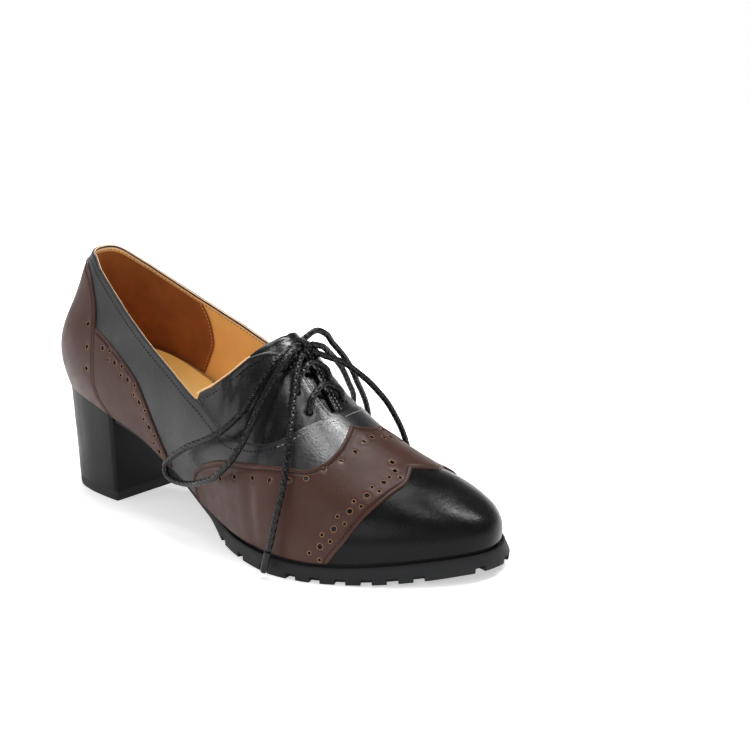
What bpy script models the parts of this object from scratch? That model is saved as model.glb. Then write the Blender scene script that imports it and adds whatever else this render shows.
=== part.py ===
"""Laced block-heel pump: a right shoe with a wing-tip vamp, a throat with facings and a lug sole.

Metres, +Z up, +X towards the toe, +Y towards the medial (inner) side of the foot.
Sizes below are in millimetres, with x measured from the back of the heel seat. The finished solids
are scaled by MM and moved so that the object, without its loose lace, is centred over the origin.
"""
import math

import bmesh
import bpy
import numpy as np
from mathutils import Vector
from mathutils.geometry import delaunay_2d_cdt

MM = 0.001
LATERAL, MEDIAL = -1, 1

# Thicknesses and clearances
WALL = 1.8
GAP = 0.4
PANEL = 0.9
PANEL_LIFT = 0.7
FACING_LIFT = -0.6
FACING = 1.4
TONGUE_LIFT = -2.8
TONGUE = 1.6
INSOLE = 2.4
INSOLE_CLEARANCE = 0.1
LACE_RADIUS = 1.4
AGLET_RADIUS = 1.6

# Lower edge of the upper: the ends on the centre line, then x, lateral y, medial y
HEEL_BACK = (0.0, 0.0)
TOE_TIP = (234.8, 8.4)
FEATHER = (
    (2.6, -12.0, 11.6),
    (9.5, -20.0, 19.4),
    (21.0, -24.8, 24.2),
    (36.0, -27.4, 26.6),
    (55.0, -28.6, 26.2),
    (76.0, -28.4, 24.2),
    (96.0, -28.0, 22.4),
    (110.0, -29.4, 22.8),
    (124.0, -33.8, 25.6),
    (138.0, -39.4, 30.0),
    (152.0, -43.6, 35.0),
    (165.0, -45.2, 38.4),
    (179.0, -42.8, 39.8),
    (193.0, -37.0, 39.4),
    (206.0, -29.0, 37.0),
    (218.0, -19.4, 32.2),
    (227.0, -9.8, 25.4),
    (232.6, -1.0, 17.4),
)

# Height of that edge along the foot: x, z
SEAT = (
    (0.0, 49.2),
    (12.0, 48.7),
    (22.0, 47.6),
    (30.0, 46.1),
    (40.0, 43.8),
    (47.0, 41.8),
    (57.0, 39.3),
    (68.0, 35.3),
    (81.0, 27.8),
    (95.5, 18.4),
    (104.0, 13.6),
    (112.5, 10.9),
    (124.0, 9.0),
    (140.0, 8.6),
    (160.0, 8.8),
    (180.0, 8.2),
    (195.0, 8.7),
    (213.0, 10.5),
    (226.0, 12.1),
    (234.8, 12.9),
)

# Sections of the last: x, ridge z, ridge y, width power, height power, bulge, height of the bulge.
# Behind the throat the ridge is only the imagined crown that the side walls lean towards.
SECTIONS = (
    (30.0, 128.5, 0.0, 1.85, 2.0, 4.8, 43.0),
    (60.0, 131.0, 0.0, 2.0, 2.1, 4.4, 62.0),
    (85.0, 126.0, 0.4, 2.0, 2.2, 6.2, 80.0),
    (106.0, 113.5, 1.2, 2.0, 2.2, 8.0, 95.0),
    (120.0, 101.0, 1.8, 2.0, 2.1, 7.0, 92.0),
    (134.0, 87.6, 1.6, 1.85, 2.0, 4.6, 80.0),
    (150.0, 71.2, -1.6, 1.75, 2.0, 2.8, 64.0),
    (163.0, 60.6, -4.6, 1.75, 1.98, 2.2, 54.0),
    (176.0, 51.5, -3.0, 1.75, 1.95, 1.8, 44.0),
    (190.0, 43.5, 1.6, 1.82, 2.0, 1.5, 34.0),
    (208.0, 36.8, 5.2, 1.95, 2.1, 1.4, 27.0),
)
RIDGE_Z, RIDGE_Y, WIDTH_POWER, HEIGHT_POWER, BULGE, BULGE_SPAN = range(1, 7)
RIDGE_EASE = 0.1
HEEL_AXIS = SECTIONS[0][0]
TOE_AXIS = SECTIONS[-1][0]

# Top line of the quarters: foot x, lateral z, medial z
TOPLINE = (
    (0.0, 114.4, 114.4),
    (3.0, 114.2, 113.3),
    (10.0, 113.2, 110.0),
    (18.0, 112.0, 106.6),
    (30.0, 107.0, 101.9),
    (37.0, 102.8, 98.4),
    (53.4, 93.4, 90.6),
    (68.0, 85.0, 84.7),
    (82.7, 76.0, 79.5),
    (96.0, 68.0, 74.0),
    (107.1, 61.6, 68.4),
)
THROAT_BACK = TOPLINE[-1][0]

# Patterns drawn over the vamp: x, and distance across from the ridge (negative is lateral).
# HALF_WRAP is the distance given to a whole side, from the ridge down to the feather edge.
HALF_WRAP = 62.0
LACING_AXIS = -1.5
THROAT_SEAM = (
    (107.1, 41.5),
    (117.6, 41.3),
    (128.7, 40.9),
    (140.3, 37.4),
    (149.0, 33.2),
    (155.2, 27.6),
    (160.1, 19.1),
    (163.4, 10.0),
    (165.0, 1.5),
    (165.1, 0.0),
)
THROAT_X = (112.5, 118.0, 123.0, 128.0, 134.0, 140.3, 146.0, 151.0, 155.2, 158.0, 160.3, 162.2, 163.6, 164.5)
SEAM_GAP = 0.7
FACING_TOP = (
    (107.1, 41.0),
    (116.5, 34.6),
    (123.4, 27.8),
    (128.1, 20.2),
    (133.3, 12.5),
    (136.8, 7.9),
    (138.6, 4.4),
)
SLIT = (
    (138.6, 4.4),
    (148.0, 3.6),
    (158.0, 2.6),
    (162.4, 1.6),
)
TONGUE_TOP = (
    (126.4, 21.5),
    (128.6, 16.0),
    (131.0, 9.0),
    (132.4, 0.0),
)
TONGUE_FRONT = (170.0, 15.0)
EYELET_X = (140.9, 149.6, 158.3)
EYELET_OFFSET = 11.6
EYELET_RADIUS = 1.9

# Wing of the vamp on the lateral side; the medial wing is the same one, squeezed to its own side
CAP_EDGE = (
    (202.4, 12.0),
    (200.7, 2.2),
    (198.9, -2.4),
    (201.3, -7.9),
    (203.0, -13.0),
    (202.0, -24.3),
    (198.5, -37.9),
    (194.1, -51.6),
    (188.9, -60.8),
)
WING_EDGE = (
    (102.6, -60.8),
    (102.6, -59.0),
    (104.8, -57.2),
    (109.4, -55.0),
    (117.2, -51.8),
    (128.1, -47.6),
    (139.7, -43.7),
    (153.1, -38.3),
    (163.4, -33.3),
    (170.9, -29.4),
    (174.6, -24.0),
    (175.4, -17.0),
    (173.8, -9.3),
    (170.9, -1.4),
    (173.0, 3.5),
    (173.4, 9.5),
)
CAP_AXIS = CAP_EDGE[0][1]
CAP_MEDIAL_BACK = 3.0
WING_AXIS = WING_EDGE[-1][1]

# Patterns drawn round the heel: arc along the feather edge from the heel's back, share of the rise
RISE_WRAP = 100.0
BACKSTAY_EDGE = (
    (26.0, 0.53),
    (39.2, 0.462),
    (46.0, 0.39),
    (50.4, 0.322),
    (53.4, 0.262),
    (54.8, 0.212),
    (55.2, 0.16),
    (54.6, 0.094),
    (55.6, 0.05),
    (58.8, 0.022),
    (63.4, 0.006),
)
BACKSTAY_DROP = 5.0
COUNTER_EDGE = (
    (52.8, 0.29),
    (61.6, 0.266),
    (69.2, 0.238),
    (78.0, 0.204),
    (84.0, 0.178),
    (87.2, 0.154),
    (90.0, 0.126),
    (92.4, 0.098),
    (94.8, 0.07),
    (97.0, 0.042),
    (99.2, 0.018),
    (101.0, 0.006),
)

# Outsole outline from the heel breast to the toe: x, lateral y, medial y
SOLE_BACK_X = 48.0
SOLE_TIP = (236.4, 7.6)
OUTSOLE = (
    (48.0, -27.8, 25.6),
    (72.0, -27.4, 23.4),
    (95.0, -27.2, 21.6),
    (110.0, -29.2, 22.4),
    (122.0, -34.0, 26.4),
    (136.0, -40.6, 32.0),
    (150.0, -45.4, 37.0),
    (164.0, -47.8, 40.6),
    (178.0, -45.6, 42.2),
    (192.0, -39.8, 41.6),
    (206.0, -31.4, 39.0),
    (218.0, -21.6, 34.2),
    (228.0, -11.0, 26.8),
    (234.0, -2.2, 18.4),
)
# Underside of the outsole: x, z
TREAD = (
    (48.0, 39.0),
    (57.0, 36.6),
    (68.0, 32.6),
    (81.0, 25.2),
    (95.0, 16.2),
    (104.0, 10.2),
    (111.0, 6.6),
    (117.0, 3.0),
    (122.0, 0.4),
    (125.0, 0.0),
    (186.0, 0.0),
    (206.0, 0.9),
    (220.0, 2.3),
    (236.4, 4.4),
)
NOTCH_DEPTH = 2.4
NOTCH_WIDTH = 4.6
NOTCH_REACH = 8.0
# Side notches, as distances along the edge from the sole's tip
NOTCH_ROW = (33.2, 43.9, 54.6, 65.3, 76.0, 86.7, 101.5, 119.5, 139.5)
TOE_FLARE = 1.7
FLARE_START = 202.0
FLARE_SIDE = -8.0
FLARE_RUN = 24.0
TOE_NOTCH = {LATERAL: 7.8, MEDIAL: 8.0}

# Heel block
BREAST_X = 47.2
HEEL_FLANGE = 0.8
HEEL_BOTTOM_BACK = 2.0
HEEL_BOTTOM_FRONT = 46.2
HEEL_BOTTOM_WIDTH = 0.93
TOP_PIECE = 4.6
HEEL_WAIST = 0.55

# Loose lace, as points along each cord
KNOT = (142.8, -4.4, 84.6)
KNOT_SIZE = (5.0, 4.4, 3.9)
LOOP_LATERAL = (
    (140.8, -9.1, 83.8),
    (140.4, -16.6, 80.2),
    (139.6, -26.4, 71.6),
    (137.8, -35.2, 61.4),
    (134.4, -39.4, 56.4),
    (129.6, -41.4, 52.2),
    (120.8, -42.0, 47.4),
    (111.6, -41.2, 43.2),
    (103.2, -40.2, 38.2),
    (97.6, -39.4, 34.4),
    (93.6, -39.0, 30.4),
    (93.6, -39.0, 27.0),
    (97.6, -39.4, 25.0),
    (105.1, -40.4, 25.0),
    (113.4, -42.0, 26.8),
    (121.8, -44.4, 30.0),
    (129.8, -45.8, 33.6),
    (136.8, -46.4, 39.0),
    (141.2, -45.2, 44.0),
    (143.8, -42.4, 49.8),
    (145.0, -38.8, 56.0),
    (145.4, -33.2, 64.4),
    (145.4, -26.4, 72.0),
    (145.4, -16.6, 81.4),
    (144.4, -9.2, 85.0),
)
END_LATERAL = (
    (146.4, -7.3, 82.2),
    (149.4, -14.4, 76.0),
    (154.2, -21.2, 68.0),
    (159.0, -28.0, 60.6),
    (163.4, -34.6, 53.0),
    (167.0, -40.2, 45.0),
    (169.2, -44.8, 37.2),
    (169.4, -48.2, 29.4),
    (169.0, -50.2, 22.6),
    (168.2, -51.2, 17.0),
    (167.0, -51.6, 12.6),
)
AGLET_LATERAL = (
    (166.8, -51.6, 12.0),
    (165.4, -51.7, 7.0),
    (164.0, -51.8, 2.3),
)
LOOP_MEDIAL = (
    (142.4, -0.7, 87.6),
    (143.5, 5.4, 89.8),
    (144.4, 11.0, 87.0),
    (144.2, 14.6, 82.9),
    (144.7, 18.4, 78.8),
    (145.0, 22.8, 73.8),
    (144.5, 27.7, 67.4),
    (143.4, 32.2, 61.1),
    (142.7, 36.2, 55.5),
    (142.0, 39.7, 49.5),
    (140.9, 42.4, 42.6),
    (138.7, 43.8, 36.8),
    (135.3, 43.8, 33.8),
    (132.1, 42.6, 35.4),
    (131.7, 41.0, 40.6),
    (134.1, 39.2, 46.6),
    (137.3, 36.5, 52.8),
    (139.7, 30.2, 61.3),
    (141.8, 23.7, 69.1),
    (143.3, 17.7, 74.6),
    (144.7, 12.2, 78.9),
    (145.7, 6.6, 82.8),
    (145.0, 0.3, 85.0),
)
END_MEDIAL = (
    (146.6, -1.3, 82.6),
    (149.9, 5.6, 79.0),
    (151.3, 12.0, 76.2),
    (152.4, 16.2, 73.4),
    (153.4, 20.7, 69.8),
    (155.2, 25.2, 65.5),
    (156.9, 29.4, 60.6),
    (159.0, 33.5, 54.8),
    (160.5, 37.2, 48.2),
    (161.8, 40.7, 40.8),
    (162.7, 43.3, 32.9),
    (163.1, 44.6, 24.5),
    (163.1, 44.9, 17.0),
    (162.9, 44.8, 12.8),
)
AGLET_MEDIAL = (
    (162.9, 44.8, 12.2),
    (162.8, 45.0, 7.0),
    (162.7, 45.2, 2.3),
)
CORD_STEP = 5.5
BAR_ARCH = 1.6
TIE_ARCH = 0.5
KNOT_CLEARANCE = 1.15

BLACK_LEATHER = (0.012, 0.012, 0.013)
BROWN_LEATHER = (0.075, 0.034, 0.027)
TAN_LEATHER = (0.56, 0.31, 0.1)
BLACK_RUBBER = (0.014, 0.014, 0.015)
LACE_BLACK = (0.008, 0.008, 0.009)


# Curves and the last's surface

def smooth(table, column, place):
    """Read one column of a table as a smooth function of its first column."""
    key = np.array([row[0] for row in table])
    value = np.array([row[column] for row in table])
    place = np.clip(place, key[0], key[-1])
    step = np.diff(key)
    slope = np.diff(value) / step
    tangent = np.empty(len(key))
    tangent[1:-1] = (slope[:-1] * step[1:] + slope[1:] * step[:-1]) / (step[1:] + step[:-1])
    tangent[0], tangent[-1] = slope[0], slope[-1]
    span = np.clip(np.searchsorted(key, place) - 1, 0, len(key) - 2)
    t = (place - key[span]) / step[span]
    return ((1 + 2 * t) * (1 - t) ** 2 * value[span]
            + t * (1 - t) ** 2 * step[span] * tangent[span]
            + t * t * (3 - 2 * t) * value[span + 1]
            + t * t * (t - 1) * step[span] * tangent[span + 1])


def curve_through(points, per_span, closed=False):
    """Points of a smooth curve through the given points, in any number of dimensions."""
    point = np.array(points, float)
    if closed:
        before, after = np.roll(point, 1, 0), np.roll(point, -1, 0)
    else:
        before = np.vstack([2 * point[0] - point[1], point[:-1]])
        after = np.vstack([point[1:], 2 * point[-1] - point[-2]])
    back = np.linalg.norm(point - before, axis=1)[:, None]
    ahead = np.linalg.norm(after - point, axis=1)[:, None]
    tangent = ((point - before) / back * ahead + (after - point) / ahead * back) / (back + ahead)
    pieces = []
    for i in range(len(point) if closed else len(point) - 1):
        j = (i + 1) % len(point)
        t = np.arange(per_span)[:, None] / per_span
        pieces.append((1 + 2 * t) * (1 - t) ** 2 * point[i] + t * (1 - t) ** 2 * ahead[i] * tangent[i]
                      + t * t * (3 - 2 * t) * point[j] + t * t * (t - 1) * ahead[i] * tangent[j])
    if not closed:
        pieces.append(point[-1:])
    return np.concatenate(pieces)


def lengths_along(line):
    """Distance along a polyline at each of its points."""
    return np.concatenate([[0.0], np.cumsum(np.linalg.norm(np.diff(line, axis=0), axis=1))])


def at_length(line, distance):
    """Points of a polyline at the given distances along it."""
    along = lengths_along(line)
    return np.stack([np.interp(distance, along, line[:, k]) for k in range(line.shape[1])], axis=1)


def outline_halves(back, table, tip, per_span=12):
    """Lateral and medial halves of an outline, each a polyline from its back end to its tip."""
    lateral = [(row[0], row[1]) for row in table]
    medial = [(row[0], row[2]) for row in table]
    if back is None:
        whole = curve_through(lateral + [tip] + medial[::-1], per_span)
        middle = len(lateral) * per_span
        return {LATERAL: whole[:middle + 1], MEDIAL: whole[middle:][::-1]}
    whole = curve_through([back] + lateral + [tip] + medial[::-1], per_span, closed=True)
    middle = (len(lateral) + 1) * per_span
    return {LATERAL: whole[:middle + 1], MEDIAL: np.vstack([whole[middle:], whole[:1]])[::-1]}


FEATHER_HALF = outline_halves(HEEL_BACK, FEATHER, TOE_TIP)
SOLE_HALF = outline_halves(None, OUTSOLE, SOLE_TIP)


def foot_at_x(side, x):
    """Point of the feather edge at a distance x along the foot."""
    half = FEATHER_HALF[side]
    return np.stack([x, np.interp(x, half[:, 0], half[:, 1])], axis=1)


def arc_at_x(side, x):
    """Arc along the feather edge, from the heel's back, of the point at x."""
    half = FEATHER_HALF[side]
    return np.interp(x, half[:, 0], lengths_along(half))


def eased_to_one(value):
    """A value that stops at 1 without a kink."""
    return np.where(value < 0.8, value, 1 - np.maximum(1.2 - value, 0) ** 2 / 0.8)


def section(foot, rise):
    """Points of the last over feather points, at a rise of 0 (feather edge) to 1 (ridge)."""
    x = np.clip(foot[:, 0], HEEL_AXIS, TOE_AXIS)
    centre = np.stack([x, smooth(SECTIONS, RIDGE_Y, x)], axis=1)
    arm = foot - centre
    reach = np.linalg.norm(arm, axis=1)
    outward = arm / reach[:, None]
    seat = smooth(SEAT, 1, foot[:, 0])
    height = (smooth(SECTIONS, RIDGE_Z, x) - seat) * np.sin(rise * math.pi / 2) ** (
        2 / smooth(SECTIONS, HEIGHT_POWER, x))
    share = np.maximum(np.cos(rise * math.pi / 2), 0.0) ** (2 / smooth(SECTIONS, WIDTH_POWER, x))
    swell = smooth(SECTIONS, BULGE, x) * np.sin(
        math.pi * eased_to_one(height / smooth(SECTIONS, BULGE_SPAN, x)))
    run = reach * share + swell * np.tanh(share / RIDGE_EASE)
    ridge_slope = smooth(SECTIONS, RIDGE_Z, TOE_AXIS) - smooth(SECTIONS, RIDGE_Z, TOE_AXIS - 1)
    toe_lean = ridge_slope * (foot[:, 0] > TOE_AXIS) * reach * share * outward[:, 0] * (1 - share ** 2)
    return np.stack([centre[:, 0] + outward[:, 0] * run,
                     centre[:, 1] + outward[:, 1] * run,
                     seat + height + toe_lean], axis=1)


def rise_at_height(foot, z):
    """Rise at which the last reaches a height over each feather point."""
    x = np.clip(foot[:, 0], HEEL_AXIS, TOE_AXIS)
    seat = smooth(SEAT, 1, foot[:, 0])
    share = np.clip((z - seat) / (smooth(SECTIONS, RIDGE_Z, x) - seat), 0.0, 1.0)
    return np.arcsin(share ** (smooth(SECTIONS, HEIGHT_POWER, x) / 2)) * 2 / math.pi


def over_vamp(pattern):
    """Place a pattern of x and distance across the ridge on the last."""
    foot = np.where((pattern[:, 1] < 0)[:, None], foot_at_x(LATERAL, pattern[:, 0]),
                    foot_at_x(MEDIAL, pattern[:, 0]))
    return section(foot, 1 - np.abs(pattern[:, 1]) / HALF_WRAP)


def round_heel(pattern):
    """Place a pattern of arc from the heel's back (lateral is positive) and rise on the last."""
    arc = np.abs(pattern[:, 0])
    foot = np.where((pattern[:, 0] > 0)[:, None], at_length(FEATHER_HALF[LATERAL], arc),
                    at_length(FEATHER_HALF[MEDIAL], arc))
    return section(foot, pattern[:, 1] / RISE_WRAP)


def lifted(place, pattern, lift):
    """Place a pattern on the last and move it outwards along the surface normal."""
    pattern = np.asarray(pattern, float)
    step = 0.4
    along = place(pattern + (step, 0)) - place(pattern - (step, 0))
    across = place(pattern + (0, step)) - place(pattern - (0, step))
    normal = np.cross(along, across)
    normal /= np.linalg.norm(normal, axis=1)[:, None]
    return place(pattern) + lift * normal


# Making objects

def new_collection(name):
    collection = bpy.data.collections.new(name)
    bpy.context.scene.collection.children.link(collection)
    return collection


def new_material(name, colour, roughness):
    material = bpy.data.materials.new(name)
    material.use_nodes = True
    shader = material.node_tree.nodes["Principled BSDF"]
    shader.inputs["Base Color"].default_value = (*colour, 1.0)
    shader.inputs["Roughness"].default_value = roughness
    shader.inputs["Metallic"].default_value = 0.0
    return material


def new_object(name, data, colour, roughness):
    obj = bpy.data.objects.new(name, data)
    data.materials.append(new_material(name, colour, roughness))
    PARTS.objects.link(obj)
    return obj


def mesh_object(name, points, faces, colour, roughness):
    """One mesh object from points in millimetres."""
    mesh = bpy.data.meshes.new(name)
    mesh.from_pydata([tuple(p) for p in np.asarray(points) * MM], [], faces)
    bm = bmesh.new()
    bm.from_mesh(mesh)
    bmesh.ops.remove_doubles(bm, verts=bm.verts, dist=0.02 * MM)
    bm.to_mesh(mesh)
    bm.free()
    return new_object(name, mesh, colour, roughness)


def thicken(obj, thickness, outwards):
    """Give an open surface its thickness, outwards or inwards from where it was drawn."""
    solid = obj.modifiers.new("thickness", "SOLIDIFY")
    solid.thickness = thickness * MM
    solid.offset = 1.0 if outwards else -1.0
    solid.use_even_offset = True


def loft(name, rings, colour, roughness):
    """Closed solid through rings that list lateral points to the tip, then medial points back."""
    count = len(rings[0])
    faces = []
    for r in range(len(rings) - 1):
        for i in range(count):
            j = (i + 1) % count
            faces.append((r * count + i, (r + 1) * count + i, (r + 1) * count + j, r * count + j))
    last = (len(rings) - 1) * count
    for i in range(count // 2 - 1):
        mate = count - 1 - i
        faces.append((i, i + 1, mate - 1, mate))
        faces.append((last + mate, last + mate - 1, last + i + 1, last + i))
    return mesh_object(name, np.concatenate(rings), faces, colour, roughness)


def inside(polygon, points):
    """Which points lie inside a closed polygon."""
    x, y = points[:, 0:1], points[:, 1:2]
    ax, ay = polygon[:, 0], polygon[:, 1]
    bx, by = np.roll(ax, -1), np.roll(ay, -1)
    crosses = (ay > y) != (by > y)
    rise = np.where(by == ay, 1.0, by - ay)
    return (np.sum(crosses & (x < ax + (y - ay) / rise * (bx - ax)), axis=1) % 2).astype(bool)


def nearest_gap(polygon, points):
    """Distance from each point to a polygon's corners."""
    return np.min(np.linalg.norm(points[:, None] - polygon[None], axis=2), axis=1)


def panel(name, place, outline, lift, spacing, colour, roughness, holes=()):
    """Open surface of a pattern piece, laid on the last at a lift, with holes punched in it."""
    low, high = outline.min(0), outline.max(0)
    grid = np.stack(np.meshgrid(np.arange(low[0], high[0], spacing),
                                np.arange(low[1], high[1], spacing)), axis=-1).reshape(-1, 2)
    keep = inside(outline, grid) & (nearest_gap(outline, grid) > 0.6 * spacing)
    for hole in holes:
        keep &= ~inside(hole, grid) & (nearest_gap(hole, grid) > 0.4 * spacing)
    loops = [outline, *holes]
    points = np.concatenate([*loops, grid[keep]])
    edges, start = [], 0
    for loop in loops:
        edges += [(start + i, start + (i + 1) % len(loop)) for i in range(len(loop))]
        start += len(loop)
    made = delaunay_2d_cdt([Vector(p) for p in points], edges, [], 0, 1e-4)
    flat = np.array([tuple(v) for v in made[0]])
    centres = np.array([flat[list(face)].mean(0) for face in made[2]])
    within = inside(outline, centres)
    for hole in holes:
        within &= ~inside(hole, centres)
    faces = [tuple(face) for face, kept in zip(made[2], within) if kept]
    return mesh_object(name, lifted(place, flat, lift), faces, colour, roughness)


def cord(name, route, radius, colour, roughness):
    """Round cord on a smooth curve through its route."""
    line = curve_through(route, 12)
    count = max(3, round(lengths_along(line)[-1] / CORD_STEP) + 1)
    points = at_length(line, np.linspace(0, lengths_along(line)[-1], count))
    data = bpy.data.curves.new(name, "CURVE")
    data.dimensions = "3D"
    data.bevel_depth = radius * MM
    data.bevel_resolution = 2
    data.use_fill_caps = True
    spline = data.splines.new("POLY")
    spline.points.add(len(points) - 1)
    for knot, point in zip(spline.points, points):
        knot.co = (*(point * MM), 1.0)
    return new_object(name, data, colour, roughness)


# Upper and its panels

def upper_columns():
    """Feather points round the upper, from the heel's back, each with the rise of its top edge."""
    heel_arcs = {side: np.linspace(0, arc_at_x(side, HEEL_AXIS), 9) for side in (LATERAL, MEDIAL)}
    quarter_x = np.array([38.0, 46.0, 54.0, 63.0, 72.0, 81.0, 90.0, 96.0, 102.0, 107.1])
    throat_x = np.array(THROAT_X)
    vamp_x = np.array([165.1, 168.0, 173.0, 179.0, 186.0, 193.0, 200.5, 208.0])
    columns = {}
    for side in (LATERAL, MEDIAL):
        half = FEATHER_HALF[side]
        heel = at_length(half, heel_arcs[side])
        quarter = foot_at_x(side, quarter_x)
        throat = foot_at_x(side, throat_x)
        vamp = foot_at_x(side, vamp_x)
        toe = at_length(half, np.linspace(arc_at_x(side, TOE_AXIS), lengths_along(half)[-1], 9)[1:])
        back = np.concatenate([heel, quarter])
        top_z = smooth(TOPLINE, 1 if side == LATERAL else 2, back[:, 0])
        seam_rise = 1 - (smooth(THROAT_SEAM, 1, throat_x) + side * LACING_AXIS) / HALF_WRAP
        rises = np.concatenate([rise_at_height(back, top_z), seam_rise, np.ones(len(vamp) + len(toe))])
        columns[side] = (np.concatenate([back, throat, vamp, toe]), rises)
    lateral, medial = columns[LATERAL], columns[MEDIAL]
    feet = np.concatenate([lateral[0], medial[0][-2:0:-1]])
    tops = np.concatenate([lateral[1], medial[1][-2:0:-1]])
    return feet, tops


def make_upper():
    feet, tops = upper_columns()
    shares = np.linspace(0, 1, 10)
    grid = np.stack([section(feet, tops * share) for share in shares], axis=1)
    count, rows = grid.shape[:2]
    faces = []
    for i in range(count):
        j = (i + 1) % count
        for k in range(rows - 1):
            faces.append((i * rows + k, j * rows + k, j * rows + k + 1, i * rows + k + 1))
    obj = mesh_object("upper", grid.reshape(-1, 3), faces, BLACK_LEATHER, 0.35)
    bm = bmesh.new()
    bm.from_mesh(obj.data)
    bmesh.ops.dissolve_degenerate(bm, edges=bm.edges, dist=0.02 * MM)
    bm.to_mesh(obj.data)
    bm.free()
    thicken(obj, WALL, outwards=False)


def both_sides(edge, axis):
    """A lateral edge over the vamp, and its mirror image squeezed to fit the medial side."""
    lateral = np.array(edge, float)
    squeeze = (HALF_WRAP - axis) / (HALF_WRAP + axis)
    medial = np.stack([lateral[:, 0], axis + (axis - lateral[:, 1]) * squeeze], axis=1)
    return lateral, medial


def vamp_outline():
    """Outline of the wing-tip vamp: front edge, medial foot, back edge and lateral foot."""
    cap_lateral, cap_medial = both_sides(CAP_EDGE, CAP_AXIS)
    wing_lateral, wing_medial = both_sides(WING_EDGE, WING_AXIS)
    ear = 3
    cap_medial[ear:, 0] -= CAP_MEDIAL_BACK
    cap_dip = np.vstack([cap_lateral[ear - 1:0:-1], cap_medial[:ear]])
    foot = np.linspace(0, 1, 14)[1:-1, None]
    runs = [
        curve_through(cap_lateral[ear - 1:][::-1], 3),
        curve_through(cap_dip, 3),
        curve_through(cap_medial[ear - 1:], 3),
        cap_medial[-1] + foot * (wing_medial[0] - cap_medial[-1]),
        curve_through(wing_medial[:-2], 2),
        curve_through(np.vstack([wing_medial[-3:], wing_lateral[-2:-4:-1]]), 3),
        curve_through(wing_lateral[:-2][::-1], 2),
        wing_lateral[0] + foot * (cap_lateral[-1] - wing_lateral[0]),
    ]
    return joined(runs)


def joined(runs):
    """One closed outline from runs that follow each other, without doubled points."""
    line = np.concatenate(runs)
    step = np.linalg.norm(line - np.roll(line, 1, 0), axis=1)
    return line[step > 0.05]


def make_vamp_panel():
    obj = panel("vamp_panel", over_vamp, vamp_outline(), PANEL_LIFT, 6.5, BROWN_LEATHER, 0.45)
    thicken(obj, PANEL, outwards=True)


def heel_pattern(edge, side):
    """Rows of arc and rise as a pattern round the heel, on one side."""
    rows = np.array(edge, float)
    return np.stack([-side * rows[:, 0], rows[:, 1] * RISE_WRAP], axis=1)


def collar_rise(arc):
    """Rise of the line that runs BACKSTAY_DROP under the top line, at an arc round the heel."""
    side = LATERAL if arc > 0 else MEDIAL
    foot = at_length(FEATHER_HALF[side], np.abs([arc]))
    top_z = smooth(TOPLINE, 1 if side == LATERAL else 2, foot[:, 0])
    return rise_at_height(foot, top_z - BACKSTAY_DROP)[0]


def make_backstay():
    edge = {side: curve_through(heel_pattern(BACKSTAY_EDGE, side), 2) for side in (LATERAL, MEDIAL)}
    for line in edge.values():
        line[:, 1] = [min(rise, collar_rise(arc) * RISE_WRAP) for arc, rise in line]
    top_arc = np.linspace(0.92, -0.92, 14) * BACKSTAY_EDGE[0][0]
    top = np.stack([top_arc, [collar_rise(arc) * RISE_WRAP for arc in top_arc]], axis=1)
    foot_arc = np.linspace(-1, 1, 22)[1:-1] * BACKSTAY_EDGE[-1][0]
    foot = np.stack([foot_arc, np.full(len(foot_arc), BACKSTAY_EDGE[-1][1] * RISE_WRAP)], axis=1)
    outline = joined([edge[LATERAL][::-1], top, edge[MEDIAL], foot])
    obj = panel("backstay", round_heel, outline, PANEL_LIFT, 6.0, BROWN_LEATHER, 0.45)
    thicken(obj, PANEL, outwards=True)


def make_counters():
    seam = 0.6
    for side, name in ((LATERAL, "counter_lateral"), (MEDIAL, "counter_medial")):
        back = np.array([row for row in BACKSTAY_EDGE if row[1] < COUNTER_EDGE[0][1]]) + (seam, 0)
        front = curve_through(heel_pattern(COUNTER_EDGE, side), 2)
        rear = curve_through(heel_pattern(back, side), 2)
        foot_arc = np.linspace(back[-1][0], COUNTER_EDGE[-1][0], 8)[1:-1]
        foot = np.stack([-side * foot_arc, np.full(len(foot_arc), COUNTER_EDGE[-1][1] * RISE_WRAP)], axis=1)
        outline = joined([rear, foot, front[::-1]])
        obj = panel(name, round_heel, outline, PANEL_LIFT, 6.0, BROWN_LEATHER, 0.45)
        thicken(obj, PANEL, outwards=True)


def about_lacing(edge, side):
    """Rows of x and distance from the lacing axis as a pattern over the vamp, on one side."""
    rows = np.array(edge, float)
    return np.stack([rows[:, 0], LACING_AXIS + side * rows[:, 1]], axis=1)


def make_facing():
    x = np.array((THROAT_BACK, *THROAT_X))
    seam = np.stack([x, smooth(THROAT_SEAM, 1, x)], axis=1)
    along = np.gradient(seam, axis=0)
    along /= np.linalg.norm(along, axis=1)[:, None]
    seam += SEAM_GAP * np.stack([along[:, 1], -along[:, 0]], axis=1)
    runs = []
    for side in (LATERAL, MEDIAL):
        top = [*FACING_TOP[:0:-1], (seam[0][0] + SEAM_GAP, seam[0][1] - SEAM_GAP)]
        runs.append(np.concatenate([curve_through(about_lacing(SLIT[::-1], side), 3),
                                    curve_through(about_lacing(top, side), 3),
                                    about_lacing(seam[1:], side)]))
    outline = joined([runs[0], runs[1][::-1]])
    turn = np.linspace(0, 2 * math.pi, 8, endpoint=False)
    ring = np.stack([np.cos(turn), np.sin(turn)], axis=1) * EYELET_RADIUS
    holes = [ring + (x, LACING_AXIS + side * EYELET_OFFSET) for x in EYELET_X for side in (LATERAL, MEDIAL)]
    obj = panel("facing", over_vamp, outline, FACING_LIFT, 5.0, BLACK_LEATHER, 0.25, holes)
    thicken(obj, FACING, outwards=False)


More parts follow.
